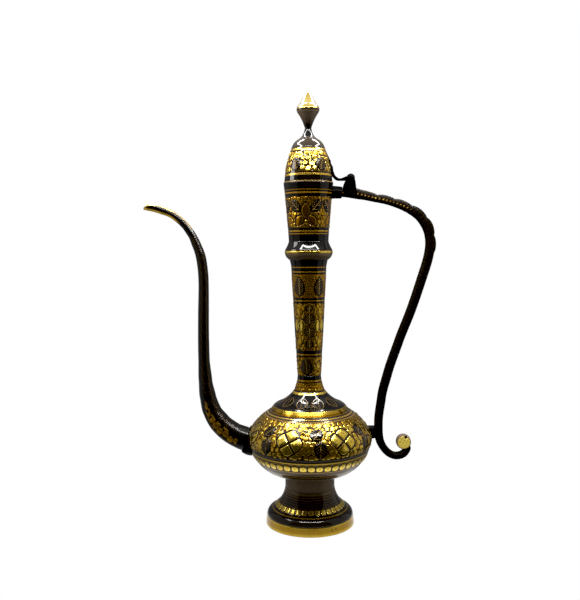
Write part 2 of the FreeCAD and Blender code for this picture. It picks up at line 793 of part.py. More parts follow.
def make_rivet(place, share):
    """Rivet through the leaf and the dome, drawn upright with its head at the origin."""
    body = new_body(f"rivet_{place}")
    revolve(body, "outline", [
        ("0", f"-{rivet_length}", 0),
        ("rivet_radius", f"-{rivet_length}", 0),
        ("rivet_radius", "0", 0),
        ("rivet_radius + 0.7", "0", 50),
        ("0.5 * rivet_radius", "rivet_head", 0),
        ("0", "rivet_head", 0),
    ])
    x, z = leaf_face(share)
    turn = FreeCAD.Rotation(FreeCAD.Vector(0, 1, 0), 90 - leaf_lean)
    body.Placement = FreeCAD.Placement(FreeCAD.Vector(value_of(x), 0, value_of(z)), turn)
    body.setExpression("Placement.Base.x", bound(x))
    body.setExpression("Placement.Base.z", bound(z))
    return body


# Build and write.


def make_all():
    bodies = [
        make_foot(), make_lower_bowl(), make_upper_bowl(), make_shoulder_cap(),
        make_neck_tube(), make_neck_ring(), make_mouth_tube(),
        make_spout(), make_spout_flange(),
        make_handle(), make_handle_ferrule(), make_handle_lug(),
        make_hinge_post(), make_hinge_pin(),
        make_lid_dome(), make_lid_sleeve(),
        make_finial(), make_finial_washer(), make_finial_nut(),
        make_hinge_strap()]
    bodies += [make_rivet(place, share) for place, share in rivet_shares]
    return bodies


def check_everything(bodies):
    doc.recompute()
    for item in doc.Objects:
        for state in item.State:
            if state in ("Invalid", "Error"):
                raise RuntimeError(f"{item.Name} is {state}")
    for body in bodies:
        if body.Shape.isNull() or not body.Shape.isValid():
            raise RuntimeError(f"{body.Label} has no sound shape")


def write_files(bodies):
    for body in bodies:
        body.Shape.exportStep(f"parts/{body.Label}.step")
        box = body.Shape.BoundBox
        print(f"{body.Label}: {len(body.Shape.Solids)} solid, {body.Shape.Volume:.0f} mm3, "
              f"x {box.XMin:.1f}..{box.XMax:.1f} y {box.YMin:.1f}..{box.YMax:.1f} "
              f"z {box.ZMin:.1f}..{box.ZMax:.1f}")


all_bodies = make_all()
check_everything(all_bodies)
write_files(all_bodies)
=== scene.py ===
import json
import math

import bpy
import numpy as np
from mathutils import Matrix, Vector


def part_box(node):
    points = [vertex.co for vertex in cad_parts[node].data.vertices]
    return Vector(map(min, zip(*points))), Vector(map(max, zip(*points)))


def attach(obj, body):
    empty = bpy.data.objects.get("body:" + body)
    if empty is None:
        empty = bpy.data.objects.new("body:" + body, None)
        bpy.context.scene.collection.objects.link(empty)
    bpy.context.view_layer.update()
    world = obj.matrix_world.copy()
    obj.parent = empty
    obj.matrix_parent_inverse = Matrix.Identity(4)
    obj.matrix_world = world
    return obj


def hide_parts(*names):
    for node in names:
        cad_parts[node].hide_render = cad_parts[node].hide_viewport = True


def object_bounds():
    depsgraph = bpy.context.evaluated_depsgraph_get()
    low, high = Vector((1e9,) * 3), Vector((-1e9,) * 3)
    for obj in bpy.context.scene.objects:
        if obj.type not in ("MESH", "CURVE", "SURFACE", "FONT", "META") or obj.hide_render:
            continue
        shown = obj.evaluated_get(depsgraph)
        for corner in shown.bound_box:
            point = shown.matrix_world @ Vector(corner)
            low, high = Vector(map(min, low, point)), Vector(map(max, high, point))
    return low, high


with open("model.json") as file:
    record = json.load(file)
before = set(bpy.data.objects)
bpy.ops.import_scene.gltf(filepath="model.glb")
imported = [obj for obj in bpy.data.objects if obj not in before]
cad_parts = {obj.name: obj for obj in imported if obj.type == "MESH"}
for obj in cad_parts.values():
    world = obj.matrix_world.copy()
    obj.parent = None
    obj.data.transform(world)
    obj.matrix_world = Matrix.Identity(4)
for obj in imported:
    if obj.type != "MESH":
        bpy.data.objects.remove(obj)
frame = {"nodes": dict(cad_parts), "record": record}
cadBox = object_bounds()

mm = 0.001


def soften(distance, edge=0.16):
    # 1 inside a shape and 0 outside, with a narrow ramp across its edge
    return np.clip(0.5 - distance / (2 * edge), 0.0, 1.0)


def wrapAngle(angle):
    return (angle + math.pi) % (2 * math.pi) - math.pi


def evenAngles(count, start):
    # angles in radians, spread evenly round the pot from start degrees
    return [math.radians(start + number * 360 / count) for number in range(count)]


def turned(a, b, degrees):
    c = math.cos(math.radians(degrees))
    s = math.sin(math.radians(degrees))
    return a * c + b * s, -a * s + b * c


def arcPoints(start, end, turn, step):
    # points from start to end along an arc that turns left by turn degrees
    start = np.array(start, float)
    end = np.array(end, float)
    chord = end - start
    length = np.hypot(*chord)
    if abs(turn) < 0.01:
        count = max(2, int(round(length / step)) + 1)
        share = np.linspace(0, 1, count)[:, None]
        return start + share * chord
    half = math.radians(turn) / 2
    radius = length / (2 * math.sin(half))
    count = max(3, int(round(abs(radius * 2 * half) / step)) + 1)
    left = np.array([-chord[1], chord[0]]) / length
    centre = (start + end) / 2 + left * radius * math.cos(half)
    spoke = start - centre
    angles = np.linspace(0, 2 * half, count)
    return np.stack([
        centre[0] + spoke[0] * np.cos(angles) - spoke[1] * np.sin(angles),
        centre[1] + spoke[0] * np.sin(angles) + spoke[1] * np.cos(angles)], 1)


def sideLine(points, step):
    # (radius, height, turn) rows become evenly spaced points
    rows = []
    for here, after in zip(points[:-1], points[1:]):
        run = arcPoints(here[:2], after[:2], here[2], step)
        rows.append(run if not rows else run[1:])
    return np.concatenate(rows)


def gridMesh(name, grid, layers, closeRows=False, closeColumns=True):
    # grid is rows x columns x 3 in mm; layers are rows x columns values kept on the points
    rowCount, columnCount = grid.shape[:2]
    mesh = bpy.data.meshes.new(name)
    mesh.vertices.add(rowCount * columnCount)
    mesh.vertices.foreach_set("co", (grid.reshape(-1) * mm).astype(np.float32))
    rows = np.arange(rowCount if closeRows else rowCount - 1)
    columns = np.arange(columnCount if closeColumns else columnCount - 1)
    r, c = np.meshgrid(rows, columns, indexing="ij")
    r2 = (r + 1) % rowCount
    c2 = (c + 1) % columnCount
    quads = np.stack([r * columnCount + c, r * columnCount + c2,
                      r2 * columnCount + c2, r2 * columnCount + c], -1).reshape(-1, 4)
    mesh.loops.add(quads.size)
    mesh.loops.foreach_set("vertex_index", quads.reshape(-1).astype(np.int32))
    mesh.polygons.add(len(quads))
    mesh.polygons.foreach_set("loop_start", (np.arange(len(quads)) * 4).astype(np.int32))
    mesh.polygons.foreach_set("use_smooth", np.ones(len(quads), bool))
    mesh.update(calc_edges=True)
    for layerName, values in layers.items():
        layer = mesh.attributes.new(layerName, "FLOAT", "POINT")
        layer.data.foreach_set("value", values.reshape(-1).astype(np.float32))
    piece = bpy.data.objects.new(name, mesh)
    bpy.context.scene.collection.objects.link(piece)
    return piece


def settle(piece, body, material, slot, *nodes):
    # gives a piece its finish and its body, and hides the CAD nodes it stands for
    piece.data.materials.clear()
    piece.data.materials.append(material)
    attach(piece, body)
    if nodes:
        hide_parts(*nodes)


brassLook = {
    "gold": (0.96, 0.72, 0.12),
    "goldDeep": (0.46, 0.215, 0.008),
    "goldRough": 0.19,
    "lacquer": (0.002, 0.0018, 0.0015),
    "lacquerWorn": (0.006, 0.004, 0.0025),
    "lacquerRough": 0.06,
    "bronze": (0.165, 0.118, 0.072),
    "bronzeRough": 0.38,
    "specular": 0.27,
    "metal": 1.0,            # 1 mirrors like bare metal, less is more matt
    "mottle": 120.0,         # colour patches per metre
    "grain": 900.0,
    "bump": 0.03,
}

castLook = dict(brassLook, lacquerWorn=(0.005, 0.004, 0.003), lacquerRough=0.24, specular=0.03,
                bump=0.10)

threadLook = dict(brassLook, lacquerWorn=(0.007, 0.005, 0.003), lacquerRough=0.16, bump=0.10)

polishedLook = dict(brassLook, gold=(0.90, 0.70, 0.24), goldDeep=(0.50, 0.28, 0.03),
                    goldRough=0.12)

groundLook = dict(brassLook, gold=(0.92, 0.72, 0.13), goldDeep=(0.60, 0.40, 0.06), goldRough=0.50,
                  metal=0.25, bump=0.15)


def mathNode(tree, operation, *values):
    node = tree.nodes.new("ShaderNodeMath")
    node.operation = operation
    feed(tree, node.inputs, values)
    return node.outputs[0]


def feed(tree, sockets, values):
    # each value is another node's output or a plain value
    for socket, value in zip(sockets, values):
        if isinstance(value, bpy.types.NodeSocket):
            tree.links.new(value, socket)
        elif isinstance(value, tuple):
            socket.default_value = (*value, 1.0)
        else:
            socket.default_value = value


def mixColour(tree, factor, first, second):
    node = tree.nodes.new("ShaderNodeMix")
    node.data_type = "RGBA"
    feed(tree, (node.inputs[0], node.inputs[6], node.inputs[7]), (factor, first, second))
    return node.outputs[2]


def mixValue(tree, factor, first, second):
    node = tree.nodes.new("ShaderNodeMix")
    feed(tree, (node.inputs[0], node.inputs[2], node.inputs[3]), (factor, first, second))
    return node.outputs[0]


def ramp(tree, value, fromLow, fromHigh, low, high):
    # smooth step from low to high while value goes from fromLow to fromHigh
    node = tree.nodes.new("ShaderNodeMapRange")
    node.interpolation_type = "SMOOTHSTEP"
    feed(tree, node.inputs, (value, fromLow, fromHigh, low, high))
    return node.outputs[0]


def noiseOf(tree, coordinate, scale, detail=3.0):
    node = tree.nodes.new("ShaderNodeTexNoise")
    node.inputs["Scale"].default_value = scale
    node.inputs["Detail"].default_value = detail
    tree.links.new(coordinate, node.inputs["Vector"])
    return node.outputs["Fac"]


def layerOf(tree, name):
    node = tree.nodes.new("ShaderNodeAttribute")
    node.attribute_name = name
    return node.outputs["Fac"]


def metalFinish(name, look, gold=None, tone=0.0):
    # Lacquered brass. The point layer "gold" says where bare metal shows, "grime" where a cut is
    # dark. "tone" makes bare metal brighter, and turns black lacquer into satin bronze.
    # A piece with no layers takes fixed values instead.
    material = bpy.data.materials.new(name)
    material.use_nodes = True
    tree = material.node_tree
    shader = tree.nodes["Principled BSDF"]
    place = tree.nodes.new("ShaderNodeTexCoord").outputs["Object"]
    patches = ramp(tree, noiseOf(tree, place, look["mottle"], 4.0), 0.3, 0.7, 0.0, 1.0)
    grain = noiseOf(tree, place, look["grain"], 2.0)
    grime = 0.0
    layered = gold is None
    if layered:
        gold = layerOf(tree, "gold")
        tone = layerOf(tree, "tone")
        grime = layerOf(tree, "grime")
    bare = mixColour(tree, mathNode(tree, "MULTIPLY", patches, 0.35), look["gold"], look["goldDeep"])
    bare = mixColour(tree, tone, look["goldDeep"], bare)
    dark = mixColour(tree, mathNode(tree, "MULTIPLY", patches, 0.6), look["lacquer"],
                     look["lacquerWorn"])
    dark = mixColour(tree, tone, dark, look["bronze"])
    tint = mixColour(tree, gold, dark, bare)
    tint = mixColour(tree, grime, tint, (0.008, 0.006, 0.004))
    darkRough = mixValue(tree, tone, look["lacquerRough"], look["bronzeRough"])
    rough = mixValue(tree, gold, darkRough, look["goldRough"])
    rough = mathNode(tree, "ADD", rough, ramp(tree, grain, 0.2, 0.8, -0.03, 0.07))
    if layered:
        bareness = mathNode(tree, "MAXIMUM", gold, mathNode(tree, "MULTIPLY", tone, 0.8))
        metallic = mathNode(tree, "MULTIPLY", bareness, look["metal"])
    else:
        metallic = look["metal"] * max(gold, 0.8 * tone)
    feed(tree, (shader.inputs["Base Color"], shader.inputs["Roughness"], shader.inputs["Metallic"]),
         (tint, rough, metallic))
    shader.inputs["Specular IOR Level"].default_value = look["specular"]
    bump = tree.nodes.new("ShaderNodeBump")
    bump.inputs["Strength"].default_value = look["bump"]
    bump.inputs["Distance"].default_value = 0.0004
    tree.links.new(grain, bump.inputs["Height"])
    tree.links.new(bump.outputs[0], shader.inputs["Normal"])
    return material


etchedBrass = metalFinish("etchedBrass", brassLook)
castBrass = metalFinish("castBrass", castLook)
threadedBrass = metalFinish("threadedBrass", threadLook)
turnedBrass = metalFinish("turnedBrass", polishedLook)
groundBrass = metalFinish("groundBrass", groundLook)
polishedBrass = metalFinish("polishedBrass", polishedLook, 1.0, 0.9)
darkBrass = metalFinish("darkBrass", castLook, 0.0, 0.0)
print("finishes made")


class Canvas:
    # the outside of a round piece, unrolled: angle round the pot (0 at the front, growing
    # towards the handle), radius, height and distance along the side, all per point
    def __init__(self, line, columns):
        self.columns = columns
        self.angleRow = np.arange(columns) * 2 * math.pi / columns - math.pi
        step = np.hypot(*np.diff(line, axis=0).T)
        self.lengthLine = np.concatenate([[0], np.cumsum(step)])
        self.heightLine = line[:, 1]
        self.radiusLine = line[:, 0]
        shape = (len(line), columns)
        self.angle = np.broadcast_to(self.angleRow, shape)
        self.radius = np.broadcast_to(line[:, :1], shape)
        self.height = np.broadcast_to(line[:, 1:], shape)
        self.along = np.broadcast_to(self.lengthLine[:, None], shape)
        self.gold = np.zeros(shape)
        self.tone = np.zeros(shape)
        self.grime = np.zeros(shape)
        self.relief = np.zeros(shape)

    def alongAt(self, height):
        order = np.argsort(self.heightLine)
        return np.interp(height, self.heightLine[order], self.lengthLine[order])

    def local(self, angle, height):
        # across and up from a point on the side, in mm
        across = self.radius * wrapAngle(self.angle - angle)
        return across, self.along - self.alongAt(height)

    def lay(self, mask, gold=None, tone=None, grime=None, relief=None):
        for layer, value in (("gold", gold), ("tone", tone), ("grime", grime), ("relief", relief)):
            if value is not None:
                old = getattr(self, layer)
                setattr(self, layer, old * (1 - mask) + value * mask)

    def band(self, low, high, edge=0.12):
        bottom = self.alongAt(low)
        top = self.alongAt(high)
        if bottom > top:
            bottom, top = top, bottom
        return soften(np.abs(self.along - (bottom + top) / 2) - (top - bottom) / 2, edge)

    def ring(self, low, high, gold=1.0, tone=0.8, relief=0.12):
        self.lay(self.band(low, high), gold=gold, tone=tone, relief=relief)

    def lacquer(self, low, high, bronze=0.0, relief=0.05, grime=0.0):
        # plain dark band, from black (bronze 0) to satin brown (bronze 1)
        self.lay(self.band(low, high), gold=0.0, tone=bronze, grime=grime, relief=relief)

    def coins(self, low, high, pitch, seed=1, depth=0.22, lean=0.09, crowd=0.5, glow=(0.55, 1.0),
              gap=0.9, ground=0.6):
        # rows of punched round scales between two heights, each leaning its own way
        mask = self.band(low, high)
        draw = np.random.default_rng(seed)
        bottom, top = sorted((self.alongAt(low), self.alongAt(high)))
        rowCount = max(1, int(round((top - bottom) / (pitch * 0.88))))
        rowPitch = (top - bottom) / rowCount
        order = np.argsort(self.lengthLine)
        best = np.full(self.angle.shape, 9.0)
        pick = np.zeros(self.angle.shape)
        slope = np.zeros(self.angle.shape)
        for row in range(-1, rowCount + 1):
            middle = bottom + (row + 0.5) * rowPitch
            radius = np.interp(middle, self.lengthLine[order], self.radiusLine[order])
            count = max(3, int(round(2 * math.pi * radius / pitch)))
            shiftUp = draw.normal(0, 0.09 * pitch, count)
            shiftRound = draw.normal(0, 0.08, count)
            size = draw.uniform(0.84, 1.14, count)
            value = draw.uniform(0, 1, count)
            leanAcross = draw.normal(0, lean, count)
            leanUp = draw.normal(0, lean, count)
            near = np.abs(self.lengthLine - middle) < 1.8 * pitch
            if not near.any():
                continue
            angle = self.angle[near]
            along = self.along[near]
            widths = self.radius[near]
            base = angle / (2 * math.pi) * count - 0.5 * (row % 2)
            for side in (-1, 0, 1):
                index = np.floor(base + side + 0.5).astype(int)
                wrapped = index % count
                centre = (index + shiftRound[wrapped] + 0.5 * (row % 2)) * 2 * math.pi / count
                across = widths * wrapAngle(angle - centre)
                up = along - middle - shiftUp[wrapped]
                far = np.hypot(across, up) / (crowd * pitch * size[wrapped])
                tilt = leanAcross[wrapped] * across + leanUp[wrapped] * up
                closer = far < best[near]
                best[near] = np.where(closer, far, best[near])
                pick[near] = np.where(closer, value[wrapped], pick[near])
                slope[near] = np.where(closer, tilt, slope[near])
        scale = crowd * pitch
        inside = soften((best - gap) * scale, 0.13) * mask
        dome = np.sqrt(np.clip(1 - best ** 2, 0, 1))
        mark = soften(np.abs(best - 0.45) * scale - 0.16, 0.10) * (pick > 0.4)
        self.lay(mask, gold=0.3, tone=0.0, relief=0.0, grime=ground)
        self.lay(inside, gold=1.0, tone=glow[0] + (glow[1] - glow[0]) * pick, grime=0.0,
                 relief=0.10 + depth * dome + slope)
        self.lay(inside * mark, tone=0.05, grime=0.4)

    def leaf(self, angle, height, length, width, tilt, rise=0.3, vein=2.0):
        # dark veined leaf with its tip up before the tilt
        across, up = self.local(angle, height)
        across, up = turned(across, up, tilt)
        share = np.clip(up / length + 0.5, 0, 1)
        shape = 2.42 * np.power(share, 0.55) * np.power(1 - share, 0.75)
        serration = 0.07 * width * np.abs(np.sin(share * math.pi * length / vein))
        half = 0.5 * width * shape - serration
        outside = np.maximum(np.abs(across) - half, np.abs(up) - length / 2)
        inside = soften(outside, 0.14)
        rib = soften(np.abs(across) - 0.10, 0.12) * soften(np.abs(up) - 0.42 * length, 0.2)
        slant = (up - 0.8 * np.abs(across)) / vein
        veins = soften(np.abs(slant - np.round(slant)) * vein - 0.04, 0.14)
        veins = veins * soften(outside + 0.8, 0.15)
        self.lay(soften(outside - 0.65, 0.14), gold=0.0, tone=0.0, grime=0.9, relief=-0.05)
        dome = np.sqrt(np.clip(1 - (across / np.maximum(half, 0.3)) ** 2, 0, 1))
        self.lay(inside, gold=0.0, tone=0.0, grime=0.0, relief=0.06 + rise * dome)
        self.lay(inside * np.maximum(rib, veins), gold=0.5, tone=0.9, relief=-0.02 + rise * dome)

    def outlined(self, outside, line=0.55, rise=0.3, tone=0.85, marks=None):
        # gold shape with a black cut line round it
        self.lay(soften(outside - line, 0.14), gold=0.0, tone=0.0, grime=0.9, relief=-0.08)
        inside = soften(outside + 0.1, 0.14)
        crown = np.sqrt(np.clip(-outside / 2.5, 0, 1))
        self.lay(inside, gold=1.0, tone=tone, grime=0.0, relief=0.08 + rise * crown)
        if marks is not None:
            self.lay(inside * marks, tone=0.1, grime=0.75)

    def petal(self, angle, height, length, width, tilt, tone=0.8, line=0.5):
        across, up = self.local(angle, height)
        across, up = turned(across, up, tilt)
        share = np.clip(np.abs(up) / (length / 2), 0, 1)
        half = 0.5 * width * np.power(1 - share ** 1.7, 0.75)
        outside = np.maximum(np.abs(across) - half, np.abs(up) - length / 2)
        marks = soften(np.abs(outside + 0.22 * width) - 0.16, 0.10)
        self.outlined(outside, line=line, tone=tone, marks=marks)

    def flower(self, angle, height, size, tilt, line=0.6):
        # four rounded square petals round a small gap
        across, up = self.local(angle, height)
        across, up = turned(across, up, tilt)
        half = 0.225 * size
        bend = 2.0
        for side, lift in ((-1, -1), (1, -1), (-1, 1), (1, 1)):
            a = across - side * 0.272 * size
            b = up - lift * 0.272 * size
            corner = np.where((a * side > 0) & (b * lift > 0), 2.4 * bend, 0.6)
            c = np.abs(a) - half + corner
            d = np.abs(b) - half + corner
            outside = np.hypot(np.maximum(c, 0), np.maximum(d, 0)) + np.minimum(np.maximum(c, d), 0)
            outside = outside - corner
            ripple = np.hypot(a, b)
            marks = np.maximum(soften(np.abs(outside + 1.25) - 0.14, 0.10),
                               soften(np.abs(ripple - 0.9) - 0.16, 0.12))
            self.outlined(outside, line=line, tone=0.95, marks=marks)

    def knobs(self, height, count, width, tall, offset=0.0, rise=0.7, hollow=0.2, squareness=2.2,
              bare=0.92):
        # row of raised beads or blocks with a pricked middle
        across = self.angle - offset
        cell = across / (2 * math.pi) * count
        cell = (cell - np.round(cell)) * 2 * math.pi / count * self.radius
        up = self.along - self.alongAt(height)
        far = (np.abs(cell / (width / 2)) ** squareness + np.abs(up / (tall / 2)) ** squareness)
        far = np.power(far, 1 / squareness)
        inside = soften((far - 1) * width / 2, 0.14)
        dome = np.sqrt(np.clip(1 - far ** 2, 0, 1))
        prick = soften(np.abs(far - hollow) * width / 2 - 0.14, 0.12)
        self.lay(soften((far - 1.24) * width / 2, 0.2), gold=0.15, tone=0.1, grime=0.75)
        self.lay(inside, gold=bare, tone=1.0, grime=0.0, relief=0.1 + rise * dome)
        self.lay(inside * prick, gold=0.7, tone=0.2, grime=0.35)


def roundPiece(name, node, outer, inner, columns, step, decorate, finish, slot, body="pot"):
    # turned piece: outer and inner side lines in mm from the axis and from the node's foot
    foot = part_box(node)[0].z / mm
    outer = [(radius, foot + height, turn) for radius, height, turn in outer]
    inner = [(radius, foot + height, turn) for radius, height, turn in inner]
    line = sideLine(outer, step)
    canvas = Canvas(line, columns)
    decorate(canvas)
    slope = np.gradient(line, axis=0)
    slope /= np.maximum(np.hypot(*slope.T), 1e-9)[:, None]
    fade = np.minimum(1, np.minimum(canvas.lengthLine, canvas.lengthLine[::-1]) / 0.5)
    lift = (canvas.relief * fade[:, None])
    radius = canvas.radius + (lift - 0.1 * fade[:, None]) * slope[:, 1][:, None]
    height = canvas.height - (lift - 0.1 * fade[:, None]) * slope[:, 0][:, None]
    inside = sideLine(inner, 8 * step)[::-1] if inner else np.zeros((0, 2))
    if inner:
        wide = np.broadcast_to(inside[:, :1], (len(inside), columns))
        tall = np.broadcast_to(inside[:, 1:], (len(inside), columns))
        radius = np.concatenate([radius, wide])
        height = np.concatenate([height, tall])
    angle = np.broadcast_to(canvas.angleRow, radius.shape)
    grid = np.stack([radius * np.sin(angle), -radius * np.cos(angle), height], -1)
    plain = np.zeros((len(inside), columns))
    layers = {
        "gold": np.concatenate([canvas.gold, plain + 0.75]),
        "tone": np.concatenate([canvas.tone, plain + 0.15]),
        "grime": np.concatenate([canvas.grime, plain + 0.25])}
    piece = gridMesh(name, grid, layers, closeRows=bool(inner))
    settle(piece, body, finish, slot, node)
    return piece


footPiece = {"marks": ((27, 4.6), (33, 5.2)), "blocks": 34, "blockWidth": 4.5, "blockTall": 4.7}


def decorateFoot(canvas):
    canvas.lacquer(8.5, 29.5, 0.05)
    canvas.lacquer(29.5, 45.0, 0.55)
    canvas.lay(soften(33.0 - canvas.height, 5.0), tone=0.8)
    canvas.ring(0.0, 7.9, tone=0.6, relief=0.1)
    canvas.lay(canvas.band(0.0, 7.9), tone=0.35, grime=0.58)
    canvas.lay(soften(canvas.height - 1.5, 1.5), tone=0.8, grime=0.35)
    canvas.lay(canvas.band(7.0, 7.9), tone=0.9, grime=0.2)
    for angle, height in footPiece["marks"]:
        across, up = canvas.local(math.radians(angle), height)
        canvas.lay(soften(np.hypot(across, up) - 0.55, 0.3), gold=0.2, grime=0.8, relief=-0.1)
    canvas.lacquer(7.9, 8.5, relief=-0.15, grime=0.5)
    canvas.ring(13.9, 14.3, tone=0.5)
    canvas.knobs(17.4, footPiece["blocks"], footPiece["blockWidth"], footPiece["blockTall"],
                 rise=0.25, hollow=0.35, squareness=5, bare=0.8)
    for height in (20.2, 22.2, 24.0, 26.0, 28.0, 30.5):
        canvas.ring(height, height + 0.35, gold=0.35, tone=0.1, relief=0.1)
    canvas.ring(43.9, 44.4, gold=0.4, tone=0.2)


roundPiece("footShell", "foot",
           [(39.4, 0, 0), (38.6, 8, 63), (34.0, 13.8, -52), (22.0, 33, 0), (22.0, 45, 0)],
           [(37.4, 0, 0), (36.6, 8, 63), (32.9, 12.1, -52), (20.0, 33, 0), (20.0, 45, 0)],
           540, 0.5, decorateFoot, etchedBrass, "etched_brass")
print("foot turned")

bowlPiece = {
    "beads": 46, "beadWidth": 5.9, "beadTall": 6.6,
    "scale": 4.6,            # pitch of the punched ground
    "repeats": 7,            # flowers round the bowl
    "flowerAngle": -20.5,    # degrees from the front
    "flowerSize": 18.8,
    "leafAngle": 6.8,
}


def decorateLowerBowl(canvas):
    canvas.lacquer(45.0, 69.0, 0.3)
    canvas.ring(66.5, 67.6, tone=0.75)
    canvas.ring(65.5, 65.9, gold=0.8, tone=0.3)
    canvas.knobs(62.1, bowlPiece["beads"], bowlPiece["beadWidth"], bowlPiece["beadTall"],
                 rise=0.4, hollow=0.2)
    for low, wide in ((58.2, 0.35), (57.2, 0.3), (54.4, 0.35), (52.4, 0.45), (48.7, 0.3)):
        canvas.ring(low, low + wide, gold=0.8, tone=0.3)


def decorateUpperBowl(canvas):
    canvas.coins(71.2, 98.0, bowlPiece["scale"], seed=3, depth=0.14, lean=0.10, gap=0.9,
                 glow=(0.2, 1.0), ground=0.85)
    flowers = evenAngles(bowlPiece["repeats"], bowlPiece["flowerAngle"])
    leaves = evenAngles(bowlPiece["repeats"], bowlPiece["leafAngle"])
    for flower, leaf in zip(flowers, leaves):
        canvas.flower(flower, 84.4, bowlPiece["flowerSize"], 33, line=1.3)
        canvas.leaf(leaf - 0.02, 90.3, 13.0, 11.0, -38, vein=2.4)
        canvas.leaf(leaf + 0.02, 78.6, 14.5, 11.5, 176, vein=2.4)
    # painted shade: the gold above 95.5 mm, on the top rows, is made deeper and darker
    canvas.lay(soften(95.5 - canvas.height, 3.0) * canvas.gold, tone=0.25, grime=0.15)
    canvas.lacquer(69.0, 71.1, 0.3, relief=0.12)
    canvas.lacquer(98.1, 101.6, 0.1, relief=0.15)
    canvas.ring(98.7, 98.95, gold=0.7, tone=0.4)
    canvas.ring(100.2, 100.6, gold=0.8, tone=0.5)


roundPiece("bowlLower", "lower_bowl",
           [(0.01, 0, 0), (22.0, 0, 0), (35.1, 2.3, 48), (53.42, 24, 0)],
           [(0.01, 1.5, 0), (22.0, 1.5, 0), (34.6, 3.7, 48), (51.92, 24, 0)],
           736, 0.56, decorateLowerBowl, etchedBrass, "etched_brass")
roundPiece("bowlUpper", "upper_bowl",
           [(53.42, 0, 47), (53.97, 13.92, 26), (35.28, 32.6, 0)],
           [(51.92, 0, 47), (52.6, 13.2, 26), (32.6, 32.6, 0)],
           760, 0.42, decorateUpperBowl, etchedBrass, "etched_brass")
print("bowl turned")

shoulderPiece = {"petals": 10}


def decorateShoulder(canvas):
    canvas.lacquer(101.6, 133.0)
    canvas.ring(101.9, 105.9, tone=0.5, relief=0.1)
    canvas.lay(canvas.band(101.9, 105.9), grime=0.3)
    canvas.lay(canvas.band(102.1, 103.4), tone=0.0, grime=0.5)
    canvas.lacquer(106.0, 107.0, relief=-0.1, grime=0.4)
    for angle in evenAngles(shoulderPiece["petals"], 18):
        across, up = canvas.local(angle, 110.6)
        share = np.clip(up / 13.0 + 0.5, 0, 1)
        half = 4.6 * np.sin(math.pi * share) ** 0.7
        outside = np.maximum(np.abs(across) - half, np.abs(up) - 6.5)
        cut = np.maximum(soften(np.abs(outside) - 0.25),
                         soften(np.abs(across) - 0.15) * soften(outside + 0.8))
        canvas.lay(cut, gold=0.2, tone=0.3, relief=-0.08)
    canvas.ring(117.2, 118.6, tone=0.85)
    canvas.lacquer(118.7, 119.7, grime=0.5, relief=-0.05)
    canvas.coins(120.3, 126.6, 2.6, seed=5, depth=0.12, glow=(0.0, 0.3), ground=0.9)
    canvas.lacquer(126.7, 133.0)
    canvas.ring(128.2, 129.0, tone=0.25)


roundPiece("shoulderCap", "shoulder_cap",
           [(35.0, 0, 0), (31.8, 4.4, 0), (29.8, 5.81, -35), (13.3, 18.3, -22), (10.4, 31.4, 0)],
           [(33.1, 0, 0), (30.7, 3.3, 0), (29.2, 4.4, -35), (12.0, 17.5, -22), (8.9, 31.4, 0)],
           480, 0.4, decorateShoulder, etchedBrass, "dark_brass")

neckPiece = {"lowerLeaves": 3, "flowers": 4, "upperLeaves": 5}


def decorateNeck(canvas):
    canvas.lacquer(133.0, 234.4)
    canvas.coins(133.2, 149.4, 3.7, seed=11, depth=0.18, glow=(0.0, 0.6), gap=0.86, ground=0.85)
    for angle in evenAngles(neckPiece["lowerLeaves"], -15):
        canvas.leaf(angle, 141.3, 15.0, 11.0, 4, vein=2.0, rise=0.25)
        canvas.petal(angle + math.radians(60), 141.5, 6.5, 4.6, 30, line=0.35)
    canvas.lacquer(149.5, 154.8)
    canvas.ring(151.3, 152.3, tone=0.25)
    canvas.coins(155.6, 196.8, 3.6, seed=13, depth=0.16, glow=(0.0, 0.6), gap=0.86, ground=0.85)
    for angle in evenAngles(neckPiece["flowers"], 0):
        for side in (-1, 1):
            canvas.petal(angle + side * math.radians(31), 177.5, 10.5, 6.6, 0, line=0.9, tone=0.9)
        canvas.leaf(angle, 183.4, 10.0, 10.0, 0, vein=1.6, rise=0.2)
        canvas.leaf(angle, 171.4, 10.0, 10.0, 180, vein=1.6, rise=0.2)
        canvas.leaf(angle, 192.4, 6.0, 7.0, 180, vein=1.3, rise=0.15)
        canvas.leaf(angle, 161.2, 7.4, 7.4, 0, vein=1.3, rise=0.15)
        between = angle + math.radians(45)
        canvas.petal(between, 190.0, 7.5, 5.0, 25, line=0.4, tone=0.5)
        canvas.petal(between, 163.5, 7.5, 5.0, -25, line=0.4, tone=0.5)
    canvas.lacquer(197.0, 201.8)
    canvas.ring(198.8, 199.5, tone=0.3)
    canvas.coins(202.0, 222.0, 2.4, seed=17, depth=0.10, glow=(0.0, 0.3), ground=0.9)
    for angle in evenAngles(neckPiece["upperLeaves"], 36):
        canvas.leaf(angle, 211.5, 17.0, 11.5, 0, vein=2.1, rise=0.25)
    canvas.lacquer(222.2, 234.4)
    canvas.ring(223.8, 224.6, tone=0.25)
    canvas.ring(227.9, 228.5, gold=0.8, tone=0.2)


roundPiece("neckTube", "neck_tube",
           [(10.4, 0, 0), (15.6, 96.33, 0), (16.7, 101.4, 0)],
           [(8.9, 0, 0), (14.1, 96.33, 0), (15.2, 101.4, 0)],
           310, 0.38, decorateNeck, etchedBrass, "etched_brass")


def decorateRing(canvas):
    canvas.lacquer(234.4, 240.4, 0.85)
    canvas.ring(240.5, 242.2, tone=0.9, relief=0.15)
    canvas.lay(canvas.band(239.9, 240.4), grime=0.4, relief=-0.05)
    canvas.lay(canvas.band(242.3, 242.9), grime=0.4, relief=-0.05)


roundPiece("neckRing", "neck_ring",
           [(16.7, 0, 62), (21.1, 7.08, 20), (20.6, 9.34, -12), (17.5, 16.1, 0)],
           [(15.2, 0, 0), (16.0, 16.1, 0)],
           360, 0.35, decorateRing, etchedBrass, "dark_brass")

